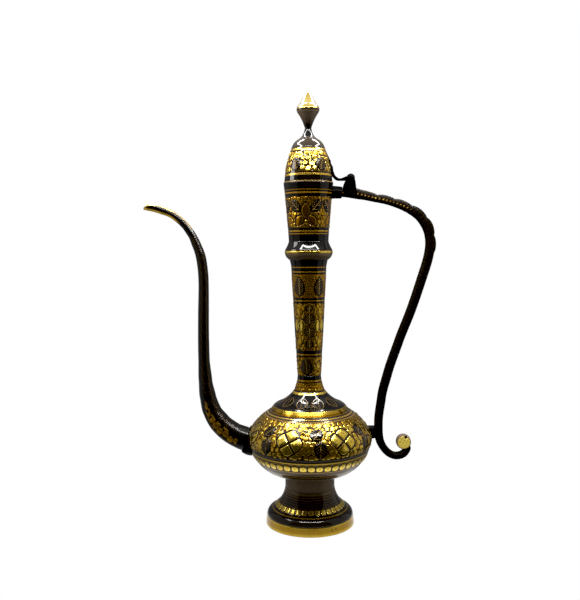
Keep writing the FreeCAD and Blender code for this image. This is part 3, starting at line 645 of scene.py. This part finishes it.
mouthPiece = {"motifs": 4, "motifAngle": -9.0}


def decorateMouth(canvas):
    canvas.ring(256.9, 257.3, gold=0.7, tone=0.2)
    canvas.ring(258.9, 259.8, tone=0.3)
    canvas.coins(262.6, 288.4, 3.6, seed=19, depth=0.18, glow=(0.0, 0.4), gap=0.86, ground=0.85)
    for angle in evenAngles(mouthPiece["motifs"], mouthPiece["motifAngle"]):
        for side in (-1, 1):
            reach = math.radians(29) * side
            canvas.petal(angle + 0.6 * reach, 268.4, 10.0, 6.2, 38 * side, line=1.4, tone=0.0)
            canvas.leaf(angle + reach, 281.0, 13.0, 9.5, -40 * side, vein=2.3)
        canvas.petal(angle, 276.6, 12.4, 6.8, 0, line=1.7, tone=0.0)
    canvas.lacquer(288.6, 301.0, relief=0.1)
    canvas.ring(291.6, 292.4, gold=0.8, tone=0.15)
    canvas.ring(294.4, 294.8, gold=0.6, tone=0.0)


roundPiece("mouthTube", "mouth_tube",
           [(17.5, 0, -4), (21.7, 50.5, 0)],
           [(16.0, 0, -4), (20.19, 50.5, 0)],
           400, 0.38, decorateMouth, etchedBrass, "etched_brass")
print("neck and mouth turned")

lidPiece = {"leaves": 5, "scale": 4.9}


def decorateDome(canvas):
    canvas.lacquer(302.0, 310.0)
    canvas.lacquer(329.8, 341.0, 0.12)
    canvas.ring(306.9, 308.2, tone=0.6)
    canvas.coins(310.0, 327.4, lidPiece["scale"], seed=23, depth=0.16, lean=0.10, crowd=0.5,
                 glow=(0.2, 1.0), gap=0.86, ground=0.9)
    for number, angle in enumerate(evenAngles(lidPiece["leaves"], -37)):
        canvas.leaf(angle, 316.4, 12.5, 10.5, -18 if number % 2 else 18, vein=2.4)
    canvas.lacquer(327.4, 328.2, grime=0.4)
    canvas.ring(328.4, 329.8, tone=0.75)


roundPiece("lidDome", "lid_dome",
           [(21.0, 0, 18), (14.69, 29.0, 40), (9.5, 36.38, -25), (6.1, 38.9, 0), (0.3, 38.9, 0)],
           [(19.8, 0, 18), (13.5, 28.7, 40), (8.8, 35.4, -25), (5.6, 37.7, 0), (0.3, 37.7, 0)],
           400, 0.38, decorateDome, etchedBrass, "etched_brass", "lid")


def decorateSleeve(canvas):
    canvas.ring(295.0, 303.0, gold=0.2, tone=0.3, relief=0.1)


roundPiece("lidEdge", "lid_sleeve",
           [(18.0, 0, 0), (19.2, 0, 0), (19.2, 4.5, 0), (21.3, 4.5, 90), (21.5, 4.75, 0),
            (21.5, 5.3, 90), (21.3, 5.5, 0), (18.0, 5.5, 0), (18.0, 0, 0)],
           [], 300, 0.3, decorateSleeve, turnedBrass, "polished_brass", "lid")

knobPiece = {"goldFrom": 364.6}


def decorateKnob(canvas):
    # painted light: the bronze grows lighter up the bulb, as if lit from above
    canvas.lay(soften(357.0 - canvas.height, 6.0), tone=0.55)
    canvas.lay(soften(knobPiece["goldFrom"] - canvas.height, 0.25), gold=1.0, tone=1.0)
    canvas.lay(canvas.band(363.2, 364.4), tone=0.0, grime=0.6)
    canvas.lay(canvas.band(364.6, 365.8), tone=0.2)
    # painted dark reflection: the gold at the very tip is made deeper
    canvas.lay(soften(376.5 - canvas.height, 1.5), tone=0.1)


roundPiece("lidKnob", "finial",
           [(0.01, 0, 0), (2.1, 0, 0), (2.1, 7.0, 0), (6.1, 7.0, -38), (3.0, 14.7, -18),
            (9.1, 27.49, 40), (10.0, 31.09, 35), (7.6, 34.92, -8), (4.2, 41.02, 20),
            (0.4, 46.1, 0), (0.01, 46.1, 0)],
           [], 200, 0.3, decorateKnob, turnedBrass, "dark_brass", "lid")
print("lid turned")


def centreLine(stations, step):
    # smooth line through (x, z, heading, half) stations: points, directions and half sizes
    points, directions, halves = [], [], []
    for here, after in zip(stations[:-1], stations[1:]):
        start = np.array(here[:2], float)
        end = np.array(after[:2], float)
        gap = np.hypot(*(end - start))
        out = gap * np.array([math.cos(math.radians(here[2])), math.sin(math.radians(here[2]))])
        into = gap * np.array([math.cos(math.radians(after[2])), math.sin(math.radians(after[2]))])
        count = max(2, int(round(gap / step)))
        t = np.arange(count)[:, None] / count
        run = ((2 * t ** 3 - 3 * t ** 2 + 1) * start + (t ** 3 - 2 * t ** 2 + t) * out
               + (-2 * t ** 3 + 3 * t ** 2) * end + (t ** 3 - t ** 2) * into)
        points.append(run)
        ease = t[:, 0]
        halves.append(here[3] + (after[3] - here[3]) * ease * ease * (3 - 2 * ease))
    points.append(np.array([stations[-1][:2]], float))
    halves.append(np.array([stations[-1][3]], float))
    points = np.concatenate(points)
    halves = np.concatenate(halves)
    directions = np.gradient(points, axis=0)
    directions /= np.hypot(*directions.T)[:, None]
    return points, directions, halves


def lengthAlong(points):
    return np.concatenate([[0], np.cumsum(np.hypot(*np.diff(points, axis=0).T))])


def capped(grid, layers):
    # closes both ends of a swept grid onto their middles
    first = np.broadcast_to(grid[0].mean(0), grid[0].shape)
    last = np.broadcast_to(grid[-1].mean(0), grid[-1].shape)
    grid = np.concatenate([first[None], grid, last[None]])
    layers = {name: np.concatenate([v[:1], v, v[-1:]]) for name, v in layers.items()}
    return grid, layers


handlePiece = {
    "halfWidth": 4.2,
    "columns": 72,
    "scalePitch": 2.3,
    "scaleRise": 0.5,
    "plainRoot": 14.0,       # mm from the mouth before the scales begin
    "dotPitch": 3.2,
    "dotRadius": 0.55,
    "dotMiddle": 38.0,       # mm along the arm, where the row of dots is centred
    "dotReach": 30.0,
    "bumps": 6,              # scallops on top of the arm
    "bumpRise": 1.5,
    "bumpFrom": 24.0,
    "bumpLength": 92.0,
}

# x, z, heading in degrees and half thickness, from the mouth to the end of the curl
handleStations = [
    (20.6, 293.1, -2, 3.45), (29.7, 292.8, -3, 3.85), (41.7, 291.8, -10, 4.45),
    (52.7, 289.0, -13, 3.4), (67.7, 285.8, -14, 3.3), (81.7, 281.2, -23, 3.6),
    (94.5, 274.2, -37, 4.1), (102.1, 265.6, -58, 4.4), (105.9, 255.0, -80, 4.2),
    (106.3, 244.9, -95, 4.15), (101.7, 225.0, -108, 4.15), (90.0, 189.8, -110, 4.05),
    (79.1, 161.7, -109, 3.95), (69.4, 133.2, -105, 3.95), (64.1, 111.9, -97, 3.85),
    (61.4, 90.1, -91, 3.75), (61.9, 76.7, -83, 3.65), (66.4, 65.9, -54, 3.25),
    (74.9, 59.4, -16, 3.1), (83.3, 60.7, 32, 3.2), (87.4, 65.6, 70, 2.7), (87.0, 69.6, 112, 1.8)]


def superRound(angle, halfA, halfB, power=2.6):
    # squarish oval
    c = np.cos(angle)
    s = np.sin(angle)
    size = np.power(np.abs(c) ** power + np.abs(s) ** power, -1 / power)
    return halfA * c * size, halfB * s * size


def makeHandle():
    points, directions, halves = centreLine(handleStations, 0.5)
    along = lengthAlong(points)
    outward = np.stack([-directions[:, 1], directions[:, 0]], 1)  # towards the outer side
    columns = handlePiece["columns"]
    angle = np.arange(columns) * 2 * math.pi / columns
    a, b = np.meshgrid(along, angle, indexing="ij")
    thin, wide = superRound(b, 1.0, handlePiece["halfWidth"])
    thick = thin * halves[:, None]
    # diamond scales, laid as two crossing spirals
    girth = 2 * math.pi * 4.0
    turnCount = round(girth / handlePiece["scalePitch"])
    first = a / handlePiece["scalePitch"] + b * turnCount / (2 * math.pi)
    second = a / handlePiece["scalePitch"] - b * turnCount / (2 * math.pi)
    scaleField = np.abs(np.sin(math.pi * first) * np.sin(math.pi * second))
    quiet = soften(handlePiece["plainRoot"] - a, 3.0)
    rise = handlePiece["scaleRise"] * (np.sqrt(scaleField) - 0.6) * quiet
    # a row of pricked dots along the middle of each side
    side = np.abs(np.abs(wide) - handlePiece["halfWidth"])
    pitch = handlePiece["dotPitch"]
    dotAlong = (a / pitch - np.round(a / pitch)) * pitch
    dotAcross = thick + 0.2
    dots = soften(np.hypot(dotAlong, dotAcross) - handlePiece["dotRadius"], 0.25)
    dots = dots * soften(side - 1.4, 0.3)
    dots = dots * soften(np.abs(a - handlePiece["dotMiddle"]) - handlePiece["dotReach"], 6.0)
    dots = dots * (0.45 + 0.55 * (np.sin(a * 1.7) > 0.1))
    # scalloped back of the arm
    span = np.clip((a - handlePiece["bumpFrom"]) / handlePiece["bumpLength"], 0, 1)
    scallop = np.abs(np.sin(math.pi * span * handlePiece["bumps"]))
    onBack = np.clip(np.cos(b) + 0.1, 0, 1) * soften(0.02 - span, 0.02) * soften(span - 0.98, 0.02)
    crest = handlePiece["bumpRise"] * (np.sqrt(scallop) - 0.4) * onBack
    length = np.hypot(thick, wide)
    grow = 1 + (rise + 0.15 * dots) / length
    thick = thick * grow + crest
    wide = wide * grow
    grid = np.stack([
        points[:, 0][:, None] + outward[:, 0][:, None] * thick,
        wide,
        points[:, 1][:, None] + outward[:, 1][:, None] * thick], -1)
    bared = np.clip((scaleField - 0.88) / 0.12, 0, 1) * quiet
    grime = np.clip(0.85 - 2.2 * scaleField, 0, 0.85) * quiet * (1 - dots)
    layers = {"gold": np.maximum(dots, 0.12 * bared), "tone": dots, "grime": grime}
    grid, layers = capped(grid, layers)
    piece = gridMesh("handleGrip", grid, layers)
    settle(piece, "pot", castBrass, "dark_brass", "handle")
    return piece


makeHandle()

buttonPiece = {
    "centre": (83.7, 71.9),  # x and z
    "radius": 6.3,
    "half": 4.6,
    "faceRadius": 5.2,       # where the flat face ends
    "rimHalf": 3.2,
    "notch": (1.6, 4.6),     # small pit in the front face, across and up from the centre
    "notchRadius": 1.3,
    "columns": 96,
}


def makeButton():
    # thick round button that ends the curl, ground to bare metal on both faces
    middleX, middleZ = buttonPiece["centre"]
    radius = buttonPiece["radius"]
    half = buttonPiece["half"]
    flat = buttonPiece["faceRadius"]
    rim = buttonPiece["rimHalf"]
    profile = sideLine([(0.01, -half, 0), (flat, -half, 55), (radius, -rim, 25),
                        (radius, rim, 55), (flat, half, 0), (0.01, half, 0)], 0.3)
    columns = buttonPiece["columns"]
    angle = np.arange(columns) * 2 * math.pi / columns
    r = np.broadcast_to(profile[:, :1], (len(profile), columns)).copy()
    y = np.broadcast_to(profile[:, 1:], (len(profile), columns)).copy()
    t = np.broadcast_to(angle, r.shape)
    across = r * np.cos(t)
    up = r * np.sin(t)
    face = soften(half - 0.2 - np.abs(y), 0.1)
    ripple = 0.12 * np.sin(across * 2.1 + 0.6 * np.sin(up * 1.7)) * np.sin(up * 1.3)
    pitAcross, pitUp = buttonPiece["notch"]
    notch = np.hypot(across - pitAcross, up - pitUp)
    cut = soften(notch - buttonPiece["notchRadius"], 0.25) * (y < 0)
    y = y - np.sign(y) * (0.10 + 0.5 * ripple) * face + cut * 0.9
    grid = np.stack([middleX + across, y, middleZ + up], -1)
    layers = {"gold": face * (1 - cut), "tone": np.clip(0.85 + ripple, 0, 1), "grime": cut}
    piece = gridMesh("handleButton", grid, layers)
    settle(piece, "pot", groundBrass, "dark_brass")
    return piece


makeButton()
print("handle swept")

spoutPiece = {
    "columns": 64,
    "wall": 1.1,
    "threadPitch": 1.9,
    "threadRise": 0.32,
    "startRadius": 52.0,     # the tube begins inside the bowl's wall, this far from the axis
    "panelFrom": 12.0,       # leaf panel, mm along the spout
    "panelTo": 56.0,
    "panelWidth": 10.5,
    "coinPitch": 5.4,
    "plainBeak": 52.0,       # lengths measured back from the tip, in mm
    "beakEdgeGold": 44.0,
    "beakKeelGold": 34.0,
    "tipTaper": 3.5,
}

# x, z, heading in degrees and half thickness, from the bowl to the tip
spoutStations = [
    (-48.3, 72.8, 166, 11.2), (-57.8, 75.5, 158, 10.6), (-68.8, 80.6, 147, 10.0),
    (-80.1, 90.4, 128, 9.4), (-87.0, 101.5, 112, 8.2), (-90.4, 114.0, 101, 7.2),
    (-92.3, 128.5, 94, 6.0), (-93.3, 148.0, 91, 5.0), (-93.2, 184.0, 89, 4.8),
    (-92.6, 214.0, 90, 4.5), (-94.2, 235.0, 99, 4.4), (-98.2, 248.0, 113, 4.0),
    (-102.6, 257.5, 123, 3.5), (-109.4, 266.7, 134, 3.3), (-118.8, 274.5, 146, 3.3),
    (-130.1, 279.4, 160, 3.7), (-143.6, 282.6, 169, 3.6)]

# x and z of the line along which the beak is cut open
beakCut = [(-118.1, 278.2), (-124.6, 280.9), (-130.6, 283.2), (-136.6, 284.1),
           (-141.0, 283.0), (-143.9, 280.3), (-144.2, 278.6)]


def makeSpout():
    points, directions, halves = centreLine(spoutStations, 0.5)
    kept = np.abs(points[:, 0]) > spoutPiece["startRadius"]
    points, directions, halves = points[kept], directions[kept], halves[kept]
    along = lengthAlong(points)
    upward = np.stack([directions[:, 1], -directions[:, 0]], 1)
    # how far above the centre line the open beak is cut
    cutX = np.array([p[0] for p in beakCut])[::-1]
    cutZ = np.array([p[1] for p in beakCut])[::-1]
    cutAt = np.interp(points[:, 0], cutX, cutZ, right=1e3)
    above = (cutAt - points[:, 1]) * np.abs(upward[:, 1])
    share = np.clip(above / halves, -0.98, 1.0)
    opening = np.arccos(share)
    opening[points[:, 0] > cutX[-1]] = 0.0
    columns = spoutPiece["columns"]
    sweep = np.linspace(0, 1, columns)
    around = opening[:, None] + sweep * (2 * math.pi - 2 * opening[:, None])
    a = np.broadcast_to(along[:, None], around.shape)
    h = halves[:, None]
    # fine slanting thread with pricked dots
    slant = a / spoutPiece["threadPitch"] + around / math.pi * 1.5
    thread = 0.5 + 0.5 * np.cos(2 * math.pi * slant)
    cell = around * 14 / math.pi
    dotty = 0.5 + 0.5 * np.cos(2 * math.pi * cell)
    weave = thread * (0.45 + 0.55 * dotty)
    last = along[-1]
    quiet = soften(22.0 - a, 6.0) * soften(a - (last - spoutPiece["plainBeak"]), 4.0)
    under = soften(np.cos(around) * h + 0.15 * h, 0.8) * soften(a - 66.0, 6.0)
    rise = spoutPiece["threadRise"] * (weave - 0.4) * quiet * (1 - under)
    # leaf-shaped panel with a row of coins, on both sides
    sideways = np.abs(wrapAngle(around - math.pi / 2))
    other = np.abs(wrapAngle(around + math.pi / 2))
    lowSide = np.minimum(sideways, other)
    shift = (np.cos(around) * h + 0.30 * h)
    middle = (spoutPiece["panelFrom"] + spoutPiece["panelTo"]) / 2
    half = (spoutPiece["panelTo"] - spoutPiece["panelFrom"]) / 2
    place = (a - middle) / half
    width = spoutPiece["panelWidth"] / 2 * np.clip((1 - place) / 1.6, 0, 1) ** 0.9
    panel = soften(np.abs(shift) - width, 0.2) * soften(np.abs(place) - 1, 0.02) * (lowSide < 1.2)
    pitch = spoutPiece["coinPitch"]
    number = np.round((a - middle) / pitch)
    wander = 0.18 * width * np.sin(2.4 * number)
    size = np.minimum(2.5, width * 0.8)
    coin = np.hypot((a - middle) - number * pitch, shift - wander)
    coinMask = soften(coin - size, 0.2) * panel
    coinRing = soften(np.abs(coin - 0.5 * size) - 0.2, 0.15) * panel
    sparkle = np.clip((weave - 0.88) / 0.12, 0, 1) * quiet * (1 - under)
    gold = 0.35 * sparkle
    grime = np.clip(0.7 - 1.6 * weave, 0, 0.7) * quiet * (1 - under) * (1 - panel)
    edge = soften(np.abs(np.abs(shift) - width) - 0.25, 0.12) * soften(np.abs(place) - 1, 0.02)
    gold = np.maximum(gold, coinMask * (1 - 0.6 * coinRing))
    gold = np.maximum(gold, 0.55 * edge * (lowSide < 1.2))
    rise = rise * (1 - panel) + 0.15 * coinMask
    # gold edges and keel of the beak; the black left along its sides between them is a painted dark
    # reflection
    nearEdge = np.minimum(sweep, 1 - sweep) * 2 * math.pi * h
    bared = soften(last - spoutPiece["beakEdgeGold"] - a, 4.0) * soften(nearEdge - 1.7, 0.5)
    keel = soften(last - spoutPiece["beakKeelGold"] - a, 3.0) * soften(np.cos(around) + 0.5, 0.12)
    gold = np.maximum(gold, np.maximum(bared, keel))
    grime = grime * (1 - np.maximum(bared, keel))
    outer = h + rise
    inner = np.maximum(h - spoutPiece["wall"], 0.4 * h)
    ringAngle = np.concatenate([around, around[:, ::-1]], 1)
    ringSize = np.concatenate([outer, np.broadcast_to(inner, around.shape)[:, ::-1]], 1)
    up = ringSize * np.cos(ringAngle)
    across = ringSize * np.sin(ringAngle)
    # draw the very tip together
    close = np.clip((last - a[:, :1]) / spoutPiece["tipTaper"], 0, 1) ** 0.6
    across = across * (0.12 + 0.88 * close)
    grid = np.stack([
        points[:, 0][:, None] + upward[:, 0][:, None] * up,
        across,
        points[:, 1][:, None] + upward[:, 1][:, None] * up], -1)
    plain = np.zeros(around.shape)
    layers = {
        "gold": np.concatenate([gold, plain + 0.5], 1),
        "tone": np.concatenate([0.75 * gold * (1 - 0.8 * panel), plain + 0.1], 1),
        "grime": np.concatenate([grime, plain + 0.6], 1)}
    grid, layers = capped(grid, layers)
    piece = gridMesh("spoutTube", grid, layers)
    settle(piece, "pot", threadedBrass, "dark_brass", "spout")
    return piece


makeSpout()
print("spout swept")

# node: name of the piece, how fine it is in mm, and how often its edges are eased
smallPieces = {
    "spout_flange": ("spoutCollar", 0.5, 8),
    "handle_ferrule": ("handleSocket", 0.35, 5),
    "handle_lug": ("handleBracket", 0.3, 5),
    "hinge_post": ("hingePost", 0.22, 5),
    "hinge_strap": ("hingeStrap", 0.22, 3),
}


def softCopy(node, name, voxel, rounds):
    # the CAD shape with its edges eased, as a casting has them
    source = frame["nodes"][node]
    mesh = source.data.copy()
    mesh.name = name
    piece = bpy.data.objects.new(name, mesh)
    bpy.context.scene.collection.objects.link(piece)
    remesh = piece.modifiers.new("even", "REMESH")
    remesh.mode = "VOXEL"
    remesh.voxel_size = voxel * mm
    smooth = piece.modifiers.new("ease", "SMOOTH")
    smooth.factor = 0.5
    smooth.iterations = rounds
    graph = bpy.context.evaluated_depsgraph_get()
    done = bpy.data.meshes.new_from_object(piece.evaluated_get(graph))
    piece.modifiers.clear()
    piece.data = done
    done.polygons.foreach_set("use_smooth", np.ones(len(done.polygons), bool))
    return piece


bodyOf = {n: b for b, names in frame["record"]["behaviour"]["bodies"].items() for n in names}

for node, (name, voxel, rounds) in smallPieces.items():
    piece = softCopy(node, name, voxel, rounds)
    settle(piece, bodyOf[node], darkBrass, "dark_brass", node)

for node in ("hinge_pin", "finial_washer", "finial_nut", "rivet_lower", "rivet_upper"):
    part = frame["nodes"][node]
    part.data.materials.clear()
    part.data.materials.append(polishedBrass if "finial" in node else darkBrass)
print("castings eased")

stagePiece = {
    "floorSize": 6.0,
    "floorGlowNear": 1.1,        # painted pool of light: how brightly the floor glows round the foot, as the metal mirrors it
    "floorGlowFar": 0.25,
    "room": 0.045,           # the dim room outside the light tent
    "blackLevel": (0.006, 0.006, 0.006),
}

tentPiece = {
    "left": -0.27,
    "right": 0.29,
    "front": -0.20,         # the tent is open here
    "back": 0.20,
    "height": 0.48,
    "ceiling": 1.0,          # how bright its sides are, in watts per square metre and steradian
    "leftWall": 0.45,
    "rightWall": 0.60,
    "rear": 0.20,
    "slit": (0.03, -0.08, 0.335, 0.45),  # bright opening in the left side: back, front, low, high
    "slitGlow": 12.0,
    "tube": 0.026,           # width of the light tubes in the ceiling
    "tubeGlow": 70.0,
    "frame": (-0.15, 0.17, -0.19, 0.04),  # left, right, front and back tube
}


def paleToTheEye(tree, brightness):
    # plain white where the camera looks straight at it, and a set brightness in reflections
    seen = tree.nodes.new("ShaderNodeLightPath").outputs["Is Camera Ray"]
    return mixValue(tree, seen, brightness, 1.0)


def glowSheet(name, corners):
    # flat sheet that shines by itself; returns the piece, its material tree and the glow node
    mesh = bpy.data.meshes.new(name)
    mesh.from_pydata(corners, [], [(0, 1, 2, 3)])
    sheet = bpy.data.objects.new(name, mesh)
    bpy.context.scene.collection.objects.link(sheet)
    material = bpy.data.materials.new(name)
    material.use_nodes = True
    tree = material.node_tree
    tree.nodes.remove(tree.nodes["Principled BSDF"])
    glow = tree.nodes.new("ShaderNodeEmission")
    tree.links.new(glow.outputs[0], tree.nodes["Material Output"].inputs["Surface"])
    mesh.materials.append(material)
    return sheet, tree, glow


def makeFloor():
    size = stagePiece["floorSize"]
    low = cadBox[0].z - 0.0001
    floor, tree, glow = glowSheet("floor", [(-size, -size, low), (size, -size, low),
                                            (size, size, low), (-size, size, low)])
    reach = tree.nodes.new("ShaderNodeVectorMath")
    reach.operation = "LENGTH"
    place = tree.nodes.new("ShaderNodeTexCoord").outputs["Object"]
    tree.links.new(place, reach.inputs[0])
    # the floor glows only in reflections: a painted pool of light round the foot, dimmer further
    # back, and as dark as the room in front
    near = ramp(tree, reach.outputs["Value"], 0.06, 0.13, stagePiece["floorGlowNear"], 0.0)
    split = tree.nodes.new("ShaderNodeSeparateXYZ")
    tree.links.new(place, split.inputs[0])
    far = ramp(tree, split.outputs["Y"], -0.12, -0.04, stagePiece["room"], stagePiece["floorGlowFar"])
    bright = paleToTheEye(tree, mathNode(tree, "MAXIMUM", near, far))
    feed(tree, glow.inputs, ((1.0, 1.0, 1.0), bright))


def makeRoom():
    world = bpy.data.worlds.new("room")
    bpy.context.scene.world = world
    world.use_nodes = True
    tree = world.node_tree
    strength = paleToTheEye(tree, stagePiece["room"])
    feed(tree, tree.nodes["Background"].inputs, ((1.0, 1.0, 1.0), strength))


def addTube(name, start, end):
    # straight light tube lying in the ceiling
    start = Vector(start)
    end = Vector(end)
    length = (end - start).length
    light = bpy.data.lights.new(name, "AREA")
    light.shape = "RECTANGLE"
    light.size = length
    light.size_y = tentPiece["tube"]
    light.energy = tentPiece["tubeGlow"] * math.pi * length * tentPiece["tube"]
    holder = bpy.data.objects.new(name, light)
    bpy.context.scene.collection.objects.link(holder)
    holder.location = (start + end) / 2 - Vector((0, 0, 0.002))
    holder.rotation_euler.z = math.atan2(end.y - start.y, end.x - start.x)


def makeTent():
    # white light tent round the pot, open towards the viewer; the camera sees through its sides
    low = cadBox[0].z
    top = tentPiece["height"]
    corners = [(tentPiece[side], tentPiece[end]) for side, end in
               (("left", "front"), ("right", "front"), ("right", "back"), ("left", "back"))]
    panels = [("tentCeiling", [(x, y, top) for x, y in corners], tentPiece["ceiling"])]
    for name, first, second, bright in (("tentRight", 1, 2, tentPiece["rightWall"]),
                                        ("tentBack", 2, 3, tentPiece["rear"]),
                                        ("tentLeft", 3, 0, tentPiece["leftWall"])):
        a = corners[first]
        b = corners[second]
        panels.append((name, [(*a, low), (*b, low), (*b, top), (*a, top)], bright))
    side = tentPiece["left"] + 0.005
    back, front, floor, roof = tentPiece["slit"]
    panels.append(("tentSlit", [(side, back, floor), (side, front, floor), (side, front, roof),
                                (side, back, roof)], tentPiece["slitGlow"]))
    for name, shape, bright in panels:
        sheet, tree, glow = glowSheet(name, shape)
        sheet.visible_camera = False
        feed(tree, glow.inputs, ((1.0, 1.0, 1.0), bright))
    left, right, front, back = tentPiece["frame"]
    frameCorners = [(left, front, top), (right, front, top), (right, back, top), (left, back, top)]
    for number in range(4):
        addTube("tube" + str(number), frameCorners[number], frameCorners[(number + 1) % 4])


cameraPiece = {
    "place": (-0.0167, -0.640, 0.245),
    "tilt": 4.09,            # degrees down
    "roll": 0.4,
    "lens": 43.68,
    "sensor": 36,
    "nearClip": 0.01,
}


def makeCamera():
    camera = bpy.data.cameras.new("camera")
    camera.lens = cameraPiece["lens"]
    camera.sensor_width = cameraPiece["sensor"]
    camera.clip_start = cameraPiece["nearClip"]
    holder = bpy.data.objects.new("camera", camera)
    bpy.context.scene.collection.objects.link(holder)
    look = Matrix.Rotation(math.radians(90 - cameraPiece["tilt"]), 4, "X")
    lean = Matrix.Rotation(math.radians(-cameraPiece["roll"]), 4, "Z")
    holder.matrix_world = Matrix.Translation(cameraPiece["place"]) @ look @ lean
    bpy.context.scene.camera = holder


makeFloor()
makeRoom()
makeTent()
makeCamera()
view = bpy.context.scene.view_settings
view.view_transform = "Standard"
view.use_curve_mapping = True
view.curve_mapping.black_level = stagePiece["blackLevel"]
print("stage set")
